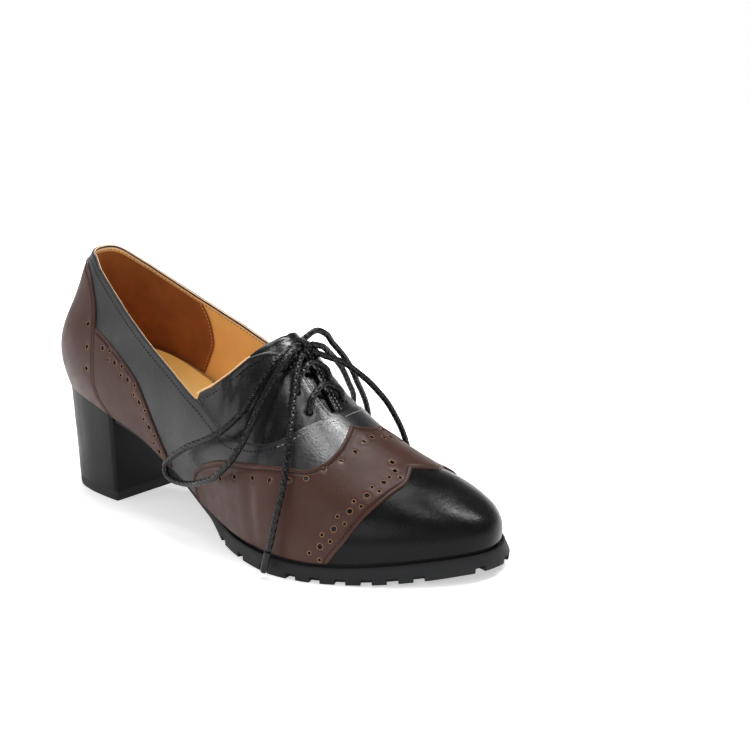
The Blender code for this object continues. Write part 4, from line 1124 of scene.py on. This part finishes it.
def make_vamp(materials):
    cap_lateral, cap_medial = both_sides(CAP_EDGE, CAP_AXIS)
    cap_medial[CAP_PEAK + 1:, 0] -= CAP_MEDIAL_BACK
    wing_lateral, wing_medial = both_sides(WING_EDGE, WING_AXIS)
    cap_dip = curve_through(np.vstack([cap_lateral[CAP_PEAK:0:-1], cap_medial[:CAP_PEAK + 1]]), 12)
    wing_dip = curve_through(np.vstack([wing_medial[WING_PEAK:], wing_lateral[-2:WING_PEAK - 1:-1]]), 12)
    cap_runs = [curve_through(cap[CAP_PEAK:], 12) for cap in (cap_lateral, cap_medial)]
    wing_runs = [curve_through(wing[:WING_PEAK + 1], 8) for wing in (wing_lateral, wing_medial)]
    outline = joined([
        cap_runs[0][::-1], cap_dip, cap_runs[1], straight(cap_runs[1][-1], wing_runs[1][0], 60),
        wing_runs[1], wing_dip, wing_runs[0][::-1], straight(wing_runs[0][0], cap_runs[0][-1], 60),
    ])
    folds = [np.concatenate([cap_runs[0][::-1], cap_dip[1:], cap_runs[1][1:]]),
             np.concatenate([wing_runs[1], wing_dip[1:], wing_runs[0][-2::-1]])]
    obj = panel("vamp_leather", over_vamp, outline, overlay_leathers(materials), holes=vamp_holes(),
                folds=folds)
    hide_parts("vamp_panel")
    rows = []
    for run, towards in ((cap_runs[0], -GROOVE), (cap_runs[1], GROOVE), (wing_runs[0], -GROOVE),
                         (wing_runs[1], GROOVE), (cap_dip, GROOVE), (wing_dip, GROOVE)):
        rows.append((over_vamp, offset_line(over_vamp, run, towards), GROOVE_LIFT))
    stitches("vamp_stitches", rows, materials["thread_brown"], FINE_STITCH)


def heel_pattern(edge, side):
    """Rows of arc and rise as a pattern round the heel, on one side."""
    rows = np.array(edge, float)
    return np.stack([-side * rows[:, 0], rows[:, 1] * RISE_WRAP], axis=1)


# Column of holes beside the backstay's edge: distance in, rises between which it runs, pitch, first hole
COLUMN_INSET = 5.6
COLUMN_RISES = (6.0, 33.0)
COLUMN_PITCH, COLUMN_START = 10.0, 5.0
# Brogue of the counters: distance in, pitch, first hole, spread of the small holes, least room to an edge
COUNTER_INSET = 5.0
COUNTER_PITCH, COUNTER_START = 9.5, 7.0
COUNTER_SPREAD = 2.1
COUNTER_CLEAR = 2.6
COUNTER_LIFT = -0.12
COUNTER_LAP = 0.8


def make_backstay(overlay):
    """The overlay round the heel; gives back the rows of its stitches."""
    edges, holes, rows = {}, [], []
    for side in SIDES:
        line = curve_through(heel_pattern(BACKSTAY_EDGE, side), 10)
        line[:, 1] = np.minimum(line[:, 1], collar_line(line[:, 0], BACKSTAY_DROP)[:, 1])
        edges[side] = line
        column = offset_line(round_heel, line, side * COLUMN_INSET)
        column = column[(column[:, 1] > COLUMN_RISES[0]) & (column[:, 1] < COLUMN_RISES[1])]
        holes += [(p, WING_HOLE) for p in hole_places(round_heel, column, COLUMN_PITCH, COLUMN_START)]
        rows.append((round_heel, offset_line(round_heel, line, side * GROOVE), GROOVE_LIFT))
    top = collar_line(np.linspace(0.92, -0.92, 60) * BACKSTAY_EDGE[0][0], BACKSTAY_DROP)
    fold = np.concatenate([edges[LATERAL][::-1], top, edges[MEDIAL]])
    foot = straight(edges[MEDIAL][-1] * (1, 0), edges[LATERAL][-1] * (1, 0), 90)
    obj = panel("backstay_leather", round_heel, joined([fold, foot]), overlay, holes=holes, spacing=3.2,
                folds=[fold])
    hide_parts("backstay")
    return rows


def make_counter(side, name, overlay):
    """One overlay beside the backstay; gives back the row of its stitches."""
    under = np.array([row for row in BACKSTAY_EDGE if row[1] < COUNTER_EDGE[0][1]]) - (COUNTER_LAP, 0)
    front = curve_through(heel_pattern(COUNTER_EDGE, side), 10)
    rear = curve_through(heel_pattern(under, side), 8)
    outline = joined([rear, straight(rear[-1], front[-1], 30), front[::-1]])
    punched = brogue(round_heel, front[2:], COUNTER_PITCH, COUNTER_START, COUNTER_SPREAD,
                     side * COUNTER_INSET)
    edge = to_flat(round_heel, outline)
    spots = to_flat(round_heel, [centre for centre, _ in punched])
    clear = inside(edge, spots) & (gap_to(edge, spots, True) > COUNTER_CLEAR)
    punched = [hole for hole, is_clear in zip(punched, clear) if is_clear]
    obj = panel(name + "_leather", round_heel, outline, overlay, lift=COUNTER_LIFT, holes=punched,
                folds=[front])
    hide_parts(name)
    return (round_heel, offset_line(round_heel, front, side * GROOVE), GROOVE_LIFT + COUNTER_LIFT)


def make_heel_overlays(materials):
    overlay = overlay_leathers(materials)
    rows = make_backstay(overlay)
    for side, name in ((LATERAL, "counter_lateral"), (MEDIAL, "counter_medial")):
        rows.append(make_counter(side, name, overlay))
    stitches("heel_stitches", rows, materials["thread_brown"], FINE_STITCH)


# Throat and its stitches

def about_lacing(edge, side):
    """Rows of x and distance from the lacing axis as a pattern over the vamp, on one side."""
    rows = np.array(edge, float)
    return np.stack([rows[:, 0], LACING_AXIS + side * rows[:, 1]], axis=1)


# Wrinkles of the facing: turn for each millimetre along and outwards, start, share of the height
RIPPLES = ((0.62, 0.21, 0.6, 1.0), (1.13, -0.33, 2.0, 0.6), (0.35, 0.7, 0.0, 0.4))
RIPPLE_HEIGHT = 0.16


def facing_ripple(pattern):
    """Wrinkles of the glossy facing, running from the eyelets towards the side."""
    x, away = pattern[:, 0], np.abs(pattern[:, 1] - LACING_AXIS)
    fade = np.clip((away - 12) / 10, 0, 1) * np.clip((40 - away) / 8, 0, 1)
    waves = sum(share * np.sin(along * x + outwards * away + start)
                for along, outwards, start, share in RIPPLES)
    return RIPPLE_HEIGHT * fade * waves


FACING_LIFT = -0.75
FACING_TUCK = 2.6
# Stitches of the facing: distances of the rows beside the slit and of the row under the top edge
SLIT_ROWS = (1.9, 4.4)
SLIT_ROW_LIFT = -0.7
EDGE_ROW = 2.4
EDGE_ROW_LIFT = -0.72
# Raw strip along the outer part of the top edge
STRIP_POINTS = 4
STRIP_INSET = 0.3
STRIP_LIFT = -1.6
STRIP_RADIUS = 0.3
STRIP_AROUND = 8


def make_facing(materials):
    seam_x = curve_through(THROAT_SEAM, 6)[:-1, 0]
    seam = np.stack([seam_x, smooth(THROAT_SEAM, 1, seam_x)], axis=1)
    runs, slit_rows, edge_rows, strips = [], [], [], []
    for side in SIDES:
        slit = curve_through(about_lacing(SLIT[::-1], side), 8)
        top = curve_through(about_lacing(FACING_TOP[::-1], side), 10)
        tucked = offset_line(over_vamp, about_lacing(seam, side), side * FACING_TUCK)
        runs.append(np.concatenate([slit[:-1], top[:-2], tucked]))
        for shift in SLIT_ROWS:
            row = about_lacing(curve_through(np.array(SLIT) + (0, shift), 8), side)
            slit_rows.append((over_vamp, row, SLIT_ROW_LIFT))
        row = offset_line(over_vamp, curve_through(about_lacing(FACING_TOP, side), 10), side * EDGE_ROW)
        edge_rows.append((over_vamp, row[8:-10], EDGE_ROW_LIFT))
        outer = curve_through(about_lacing(FACING_TOP[:STRIP_POINTS], side), 10)
        line = evenly(lifted(over_vamp, offset_line(over_vamp, outer, -side * STRIP_INSET), STRIP_LIFT), 1.0)
        strips.append(tube(line, np.full((len(line), STRIP_AROUND), STRIP_RADIUS), STRIP_AROUND))
    holes = [((x, LACING_AXIS + side * EYELET_OFFSET), EYELET_RADIUS) for x in EYELET_X for side in SIDES]
    obj = panel("facing_leather", over_vamp, joined([runs[0], runs[1][::-1]]), [materials["gloss"]] * 3,
                lift=FACING_LIFT, profile=CUT, holes=holes, spacing=2.0, ripple=facing_ripple)
    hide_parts("facing")
    merged("facing_strip", strips, materials["strip"])
    stitches("slit_stitches", slit_rows, materials["thread_light"], SLIT_STITCH)
    stitches("facing_stitches", edge_rows, materials["thread_black"], EDGE_STITCH)


TONGUE_LIFT = -2.7
TONGUE_THICKNESS = 1.3
TONGUE_ROW = 2.4


def make_tongue(materials):
    (back_x, back_half), (front_x, front_half) = TONGUE_TOP[0], TONGUE_FRONT
    side_x = np.linspace(front_x, back_x, 20)[:-1]
    side_half = np.interp(side_x, (back_x, front_x), (back_half, front_half))
    halves, rows = {}, []
    for side in SIDES:
        edge = about_lacing(np.stack([side_x, side_half], axis=1), side)
        halves[side] = np.concatenate([edge, curve_through(about_lacing(TONGUE_TOP, side), 8)])
        row = about_lacing(curve_through(np.array(TONGUE_TOP) + (TONGUE_ROW, 0), 8), side)
        rows.append((over_vamp, row, TONGUE_LIFT))
    obj = panel("tongue_leather", over_vamp, joined([there_and_back(halves)]), [materials["gloss"]] * 3,
                lift=TONGUE_LIFT, profile=CUT)
    solid = obj.modifiers.new("thickness", "SOLIDIFY")
    solid.thickness = TONGUE_THICKNESS * MM
    solid.offset = -1.0
    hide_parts("tongue")
    stitches("tongue_stitches", rows, materials["thread_black"], EDGE_STITCH)


ROW_LIFT = 0.06
INNER_ROW_LIFT = -WALL - 0.12
# Drops of the collar's rows under the top line
COLLAR_ROW = 3.4
STRIP_ROW = 2.0
# Row round the throat: distance outside the seam, x and shift forward, its front, where light thread starts
THROAT_ROW = 1.7
THROAT_SHIFT = ((150, 0.0), (165, 1.9))
THROAT_ROW_FRONT = 167.2
LIGHT_ROW_START = 154.0


def make_topline_stitches(materials):
    outer = [(round_heel, topline_pattern(side, COLLAR_ROW), ROW_LIFT) for side in SIDES]
    stitches("collar_stitches", outer, materials["thread_black"], EDGE_STITCH)
    inner = [(round_heel, topline_pattern(side, STRIP_ROW), INNER_ROW_LIFT) for side in SIDES]
    stitches("strip_stitches", inner, materials["thread_tan"], STRIP_STITCH)
    seam = curve_through(THROAT_SEAM, 8)
    split = np.searchsorted(seam[:, 0], LIGHT_ROW_START)
    shift = np.interp(seam[:, 0], *zip(*THROAT_SHIFT))
    dark, light = [], []
    for side in SIDES:
        row = about_lacing(seam + (0, THROAT_ROW), side)
        row[:, 0] = np.minimum(row[:, 0] + shift, THROAT_ROW_FRONT)
        dark.append((over_vamp, row[:split + 1], ROW_LIFT))
        light.append((over_vamp, row[split:-6], ROW_LIFT))
    stitches("throat_stitches", dark, materials["thread_black"], EDGE_STITCH)
    stitches("throat_stitches_front", light, materials["thread_light"], THROAT_STITCH)


# Bottom of the shoe

def inset(ring, distance):
    """Move a closed ring of plan points inwards, by one distance or one for each point."""
    inwards = left_of(np.roll(ring, -1, 0) - np.roll(ring, 1, 0))
    return ring + inwards * np.reshape(distance, (-1, 1))


def there_and_back(halves):
    """One ring from the two halves of an outline: out on the lateral side, back on the medial."""
    return np.concatenate([halves[LATERAL], halves[MEDIAL][::-1]])


def loft(name, rings, materials, bottom=False):
    """Solid through rings that list one side to the far end, then the other side back."""
    count = len(rings[0])
    faces = []
    for r in range(len(rings) - 1):
        for i in range(count):
            j = (i + 1) % count
            faces.append((r * count + i, (r + 1) * count + i, (r + 1) * count + j, r * count + j))
    last = (len(rings) - 1) * count
    for i in range(count // 2 - 1):
        mate = count - 1 - i
        if not bottom:
            faces.append((i, i + 1, mate - 1, mate))
        faces.append((last + mate, last + mate - 1, last + i + 1, last + i))
    if bottom:
        faces = [face[::-1] for face in faces]
    return add_mesh(name, np.concatenate(rings), faces, materials)


def sole_columns(side):
    """Distances along one side of the sole, and whether each of them lies in a notch."""
    length = lengths_along(SOLE_HALF[side])[-1]
    notches = sorted(length - distance for distance in (TOE_NOTCH[side], *NOTCH_ROW))
    half = NOTCH_WIDTH / 2
    first = notches[0] - half
    stations = [(d, 0, False) for d in np.linspace(0, first - 2.0, 40)]
    for i, place in enumerate(notches):
        stations += [(place - half, 0, False), (place - half, 1, True), (place, 1, True),
                     (place + half, 1, True), (place + half, 2, False)]
        end = notches[i + 1] - half if i + 1 < len(notches) else length - 1.0
        run = end - place - half
        inner = max(1, round(run / 2.2))
        stations += [(place + half + run * k / (inner + 1), 3, False) for k in range(1, inner + 1)]
    stations.sort(key=lambda station: (station[0], station[1]))
    return np.array([s[0] for s in stations]), np.array([s[2] for s in stations])


def toe_flare(edge):
    """How far the sole's side spreads towards the floor, round the medial half of the toe."""
    ahead = np.clip((edge[:, 0] - FLARE_START) / FLARE_RUN, 0, 1)
    inner = np.clip((edge[:, 1] - FLARE_SIDE) / FLARE_RUN, 0, 1)
    return TOE_FLARE * ahead * inner


def make_outsole(materials):
    columns = {side: sole_columns(side) for side in SIDES}
    most = max(len(distance) for distance, _ in columns.values())
    halves, cuts = {}, {}
    for side, (distance, cut) in columns.items():
        spare = most - len(distance)
        extra = distance[0] + (distance[1] - distance[0]) * np.arange(1, spare + 1) / (spare + 1)
        distance = np.concatenate([distance[:1], extra, distance[1:]])
        halves[side] = at_length(SOLE_HALF[side], distance)
        cuts[side] = np.concatenate([cut[:1], np.zeros(spare, bool), cut[1:]])
    edge, cut = there_and_back(halves), there_and_back(cuts)
    inwards = sole_normals(edge)
    top = smooth(SEAT, 1, edge[:, 0]) - GAP
    bottom = np.maximum(smooth(TREAD, 1, edge[:, 0]), 0.0)
    thickness = top - bottom
    roof = bottom + np.minimum(NOTCH_DEPTH, 0.35 * thickness)
    foot = np.where(cut, roof, bottom)
    lip = top - np.minimum(LIP_DROP, 0.15 * thickness)
    shoulder = lip - np.minimum(0.9, 0.3 * thickness)
    flare = toe_flare(edge)

    def ring(distance, z):
        return np.column_stack([edge + inwards * np.reshape(distance, (-1, 1)), z])

    # From the groove under the upper, over the lip and down the side to the tread
    obj = loft("outsole_rubber", [
        ring(4.2, top), ring(3.4, top), ring(3.0, lip - 1.2), ring(1.9, lip - 1.2), ring(1.2, lip - 0.1),
        ring(0.7, lip), ring(0.2, shoulder + 0.35), ring(0.0, shoulder - 0.3),
        ring(-flare, roof + 0.02), ring(np.where(cut, 0.9, 0.25) - flare, foot),
        ring(NOTCH_REACH, foot), ring(NOTCH_REACH + 0.3, bottom),
    ], [materials["rubber"]])
    weld(obj, 0.015)
    bevel(obj, 0.3, 50, 2)
    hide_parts("outsole")


def sole_normals(edge):
    """Inward plan normals along the outsole's edge, where some points are doubled."""
    line = {side: evenly(SOLE_HALF[side], 1.0) for side in SIDES}
    whole = np.vstack([line[LATERAL], line[MEDIAL][-2::-1]])
    nearest = np.argmin(np.linalg.norm(edge[:, None] - whole[None], axis=2), axis=1)
    return left_of(np.gradient(whole, axis=0))[nearest]


# Top piece from its top to the floor: distance in from the heel's foot, height
TOP_PIECE_RINGS = ((0.15, TOP_PIECE), (0.1, 2.0), (0.4, 0.0))


def heel_outline():
    """Plan of the heel seat: medial side from the breast to the back, then the lateral side."""
    halves = {side: at_length(FEATHER_HALF[side], np.linspace(arc_at_x(side, BREAST_X), 0.8, 40))
              for side in SIDES}
    ring = inset(there_and_back(halves)[::-1], -HEEL_FLANGE)
    ring[:, 0] = np.minimum(ring[:, 0], BREAST_X)
    return ring


def make_heel(materials):
    seat = heel_outline()
    depth_scale = (HEEL_BOTTOM_FRONT - HEEL_BOTTOM_BACK) / BREAST_X
    sole = np.stack([HEEL_BOTTOM_BACK + seat[:, 0] * depth_scale, seat[:, 1] * HEEL_BOTTOM_WIDTH], axis=1)
    top = smooth(SEAT, 1, seat[:, 0]) - GAP
    bottom = np.full(len(seat), TOP_PIECE + 0.1)
    rings = []
    for share in np.linspace(0, 1, 9):
        bend = share + (HEEL_WAIST - 0.5) * 4 * share * (1 - share)
        rings.append(np.column_stack([seat + (sole - seat) * bend, top + (bottom - top) * share]))
    obj = loft("heel_block", rings, [materials["heel"]])
    bevel(obj, 0.5, 40, 3)
    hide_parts("heel")
    piece = loft("heel_rubber", [np.column_stack([inset(sole, distance), np.full(len(sole), z)])
                                 for distance, z in TOP_PIECE_RINGS], [materials["rubber"]])
    bevel(piece, 0.35, 40, 2)
    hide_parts("heel_top_piece")


# Lace

def tube(line, radii, around):
    """Points and faces of a tube along a polyline, with a radius for each ring and each side."""
    along = unit(np.gradient(line, axis=0))
    side = np.cross(along[0], (0.3, 0.1, 1.0))
    turn = 2 * math.pi * np.arange(around)[:, None] / around
    rings = []
    for i, tangent in enumerate(along):
        side = unit(side - tangent * (side @ tangent))
        up = np.cross(tangent, side)
        rings.append(line[i] + radii[i][:, None] * (np.cos(turn) * side + np.sin(turn) * up))
    return np.concatenate(rings), tube_faces(len(line), around)


def braid(route, radius=LACE_RADIUS):
    """Points and faces of a round braided cord through a route, and its centre line."""
    around = 20
    line = evenly(curve_through(route, 16), 0.42)
    run = lengths_along(line)[:, None]
    turn = 2 * math.pi * np.arange(around)[None] / around
    wave = 2 * math.pi * run / 3.4
    ridges = np.maximum(np.cos(5 * turn + wave), np.cos(5 * turn - wave))
    radii = radius * (0.87 + 0.13 * ridges)
    points, faces = tube(line, radii, around)
    return points, faces, line


def make_cord(name, route, node_name, material):
    points, faces, line = braid(route)
    obj = add_mesh(name, points, faces, [material])
    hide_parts(node_name)


def make_aglet(name, route, node_name, material):
    around = 16
    line = evenly(curve_through(route, 8), 0.5)
    run = lengths_along(line)
    end = run[-1]
    size = np.interp(run, (0, 0.5, 1.2, end - 1.5, end - 0.4, end), (1.2, 1.5, 1.6, 1.55, 1.35, 0.8))
    points, faces = tube(line, np.repeat(size[:, None], around, axis=1), around)
    obj = add_mesh(name, points, faces, [material])
    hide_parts(node_name)
    return obj


# Bars over the throat: bow towards the ankle, lift at the side and more in the middle, lift in an eyelet
BAR_BOW = 4.5
BAR_LIFT, BAR_ARCH = 0.9, 1.7
BAR_DIP = -0.6
BAR_SPREAD = 1.2
LACE_END = -3.6
# Knot about its centre: half sizes and radius of the band round it, strands through it and their radius
KNOT_BAND = (3.1, 0.9, 2.5)
BAND_RADIUS = 1.35
KNOT_STRANDS = (
    ((-2.4, -4.6, -0.4), (-0.8, -2.0, 0.4), (0.4, 0.6, 1.0), (0.0, 3.0, 2.4)),
    ((1.4, -4.8, 0.4), (1.2, -2.0, -0.4), (0.8, 1.0, -0.2), (2.0, 4.4, 0.4)),
)
STRAND_RADIUS = 1.3


def make_bars(material):
    across = np.linspace(LATERAL, MEDIAL, 9)
    arch = 1 - across ** 2
    lift = BAR_LIFT + BAR_ARCH * arch
    lift[0] = lift[-1] = BAR_DIP
    for row in (1, 2):
        pattern = np.stack([EYELET_X[row] - BAR_BOW * arch, LACING_AXIS + EYELET_OFFSET * across], axis=1)
        pattern[1, 1] -= BAR_SPREAD
        pattern[-2, 1] += BAR_SPREAD
        ends = lifted(over_vamp, pattern[[0, -1]], [LACE_END, LACE_END])
        points, faces, _ = braid(np.vstack([ends[:1], lifted(over_vamp, pattern, lift), ends[1:]]))
        obj = add_mesh(f"lace_row_{row}", points, faces, [material])
        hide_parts(f"lace_bar_{row}")


def make_ties(material):
    tubes = []
    for side in SIDES:
        eye = [(EYELET_X[0], LACING_AXIS + side * EYELET_OFFSET)]
        low, mouth, high = (lifted(over_vamp, eye, lift)[0] for lift in (LACE_END, 0.2, 2.2))
        towards = np.array(KNOT) + (0.0, side * 2.6, -0.8)
        tubes.append(braid(np.vstack([low, mouth, high + (towards - high) * 0.3, towards]))[:2])
    ties = merged("lace_ties", tubes, material)
    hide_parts("lace_tie_lateral", "lace_tie_medial")


def make_knot(material):
    turn = np.linspace(0, 2 * math.pi, 15)
    band = KNOT_BAND * np.stack([np.cos(turn), np.sin(turn + 0.7), np.sin(turn)], axis=1)
    tubes = [braid(band + KNOT, BAND_RADIUS)[:2]]
    tubes += [braid(np.array(strand) + KNOT, STRAND_RADIUS)[:2] for strand in KNOT_STRANDS]
    knot = merged("lace_bow_knot", tubes, material)
    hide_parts("lace_knot")


def make_lacing(materials):
    lace, plastic = materials["lace"], materials["aglet"]
    make_bars(lace)
    make_ties(lace)
    make_knot(lace)
    lateral_aglet = make_aglet("tip_lateral", AGLET_LATERAL, "aglet_lateral", plastic)
    medial_aglet = make_aglet("tip_medial", AGLET_MEDIAL, "aglet_medial", plastic)
    make_cord("bow_loop_lateral", LOOP_LATERAL, "lace_loop_lateral", lace)
    make_cord("bow_loop_medial", LOOP_MEDIAL, "lace_loop_medial", lace)
    make_cord("bow_end_lateral", END_LATERAL, "lace_end_lateral", lace)
    make_cord("bow_end_medial", END_MEDIAL, "lace_end_medial", lace)


# Stage

def camera_axes():
    azimuth, elevation, roll = (math.radians(v) for v in (CAMERA_AZIMUTH, CAMERA_ELEVATION, CAMERA_ROLL))
    back = np.array((math.sin(azimuth) * math.cos(elevation), -math.cos(azimuth) * math.cos(elevation),
                     math.sin(elevation)))
    right = unit(np.cross((0, 0, 1), back))
    up = np.cross(back, right)
    return (math.cos(roll) * right + math.sin(roll) * up, math.cos(roll) * up - math.sin(roll) * right, back)


def make_camera():
    camera = bpy.data.cameras.new("camera")
    camera.sensor_width = 36.0
    camera.lens = camera.sensor_width * CAMERA_FOCAL_PX / PHOTO_WIDTH_PX
    camera.clip_start = 0.01
    obj = bpy.data.objects.new("camera", camera)
    bpy.context.scene.collection.objects.link(obj)
    matrix = Matrix.Identity(4)
    for column, axis in enumerate((*camera_axes(), world([CAMERA_EYE])[0])):
        for row in range(3):
            matrix[row][column] = axis[row]
    obj.matrix_world = matrix
    bpy.context.scene.camera = obj


def softbox(name, place, aim, size, power):
    """Large soft area light at a place, facing a point, in metres."""
    light = bpy.data.lights.new(name, "AREA")
    light.shape = "RECTANGLE"
    light.size, light.size_y = size
    light.energy = power
    obj = bpy.data.objects.new(name, light)
    bpy.context.scene.collection.objects.link(obj)
    obj.location = place
    obj.rotation_euler = (Vector(aim) - Vector(place)).to_track_quat("-Z", "Y").to_euler()


def make_floor():
    mesh = bpy.data.meshes.new("floor")
    bm = bmesh.new()
    bmesh.ops.create_grid(bm, x_segments=1, y_segments=1, size=40.0)
    bm.to_mesh(mesh)
    bm.free()
    floor = bpy.data.objects.new("floor", mesh)
    bpy.context.scene.collection.objects.link(floor)
    material, tree, shader, place = surface("pale_floor", (0.9, 0.9, 0.9), 0.8, specular=0.05)
    tree.links.new(vary(tree, place, 3.0, grey(0.89), grey(0.91)), shader.inputs["Base Color"])
    # The floor glows as well as taking light: painted light, weaker near the shoe so that its shadows show,
    # stronger far off where the lamps reach less
    shader.inputs["Emission Color"].default_value = grey(1.0)
    away = tree.nodes.new("ShaderNodeVectorMath")
    away.operation = "LENGTH"
    tree.links.new(place, away.inputs[0])
    painted_floor_glow = rescaled(tree, away.outputs["Value"], 0.05, 0.6, 0.45, 0.76)
    tree.links.new(painted_floor_glow.outputs["Result"], shader.inputs["Emission Strength"])
    mesh.materials.append(material)


def blend(tree, operation, first, second):
    """One value worked out from two."""
    made = tree.nodes.new("ShaderNodeMath")
    made.operation = operation
    tree.links.new(first, made.inputs[0])
    tree.links.new(second, made.inputs[1])
    return made.outputs["Value"]


def make_studio():
    """White horizon, a pale sweep on the camera's side, a dark room behind and a dim ceiling."""
    studio = bpy.data.worlds.new("studio")
    bpy.context.scene.world = studio
    studio.use_nodes = True
    tree = studio.node_tree
    background = tree.nodes["Background"]
    background.inputs["Color"].default_value = grey(1.0)
    split = tree.nodes.new("ShaderNodeSeparateXYZ")
    tree.links.new(tree.nodes.new("ShaderNodeTexCoord").outputs["Generated"], split.inputs["Vector"])
    sweep = rescaled(tree, split.outputs["Y"], -0.2, 0.5, 0.6, 0.12)
    ceiling = rescaled(tree, split.outputs["Z"], 0.5, 0.72, 1.0, 0.4)
    horizon = rescaled(tree, split.outputs["Z"], 0.14, 0.24, 1.0, 0.0)
    room = blend(tree, "MULTIPLY", sweep.outputs["Result"], ceiling.outputs["Result"])
    brightest = blend(tree, "MAXIMUM", room, horizon.outputs["Result"])
    tree.links.new(brightest, background.inputs["Strength"])


# Lights: name, place, aim, size in metres, power
LIGHTS = (
    ("left", (-0.8, -0.95, 0.42), (0.0, 0.0, 0.05), (0.9, 0.6), 2.5),
    ("strip", (0.4, 0.58, 1.04), (0.1, 0.0, 0.03), (0.14, 0.44), 7.6),
    ("top", (0.36, -0.03, 1.15), (0.04, 0.0, 0.06), (0.2, 0.2), 1.4),
    ("front", (0.34, -1.0, 0.74), (0.0, 0.0, 0.06), (0.7, 0.7), 3.2),
    ("back", (-0.7, 0.45, 0.9), (0.05, 0.0, 0.0), (0.5, 0.5), 5.0),
    ("overhead", (-0.08, 0.14, 1.1), (-0.03, 0.0, 0.04), (0.5, 0.5), 5.4),
)


knot_low, knot_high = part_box("lace_knot")
SHIFT = (np.array(knot_low) + np.array(knot_high)) / (2 * MM) - KNOT
MATERIALS = make_materials()
make_camera()
make_lacing(MATERIALS)
make_upper(MATERIALS)
make_heel_lining(MATERIALS)
make_insole(MATERIALS)
make_vamp(MATERIALS)
make_heel_overlays(MATERIALS)
make_facing(MATERIALS)
make_tongue(MATERIALS)
make_topline_stitches(MATERIALS)
make_outsole(MATERIALS)
make_heel(MATERIALS)
make_floor()
make_studio()
for light in LIGHTS:
    softbox(*light)
bpy.context.scene.view_settings.view_transform = "Standard"
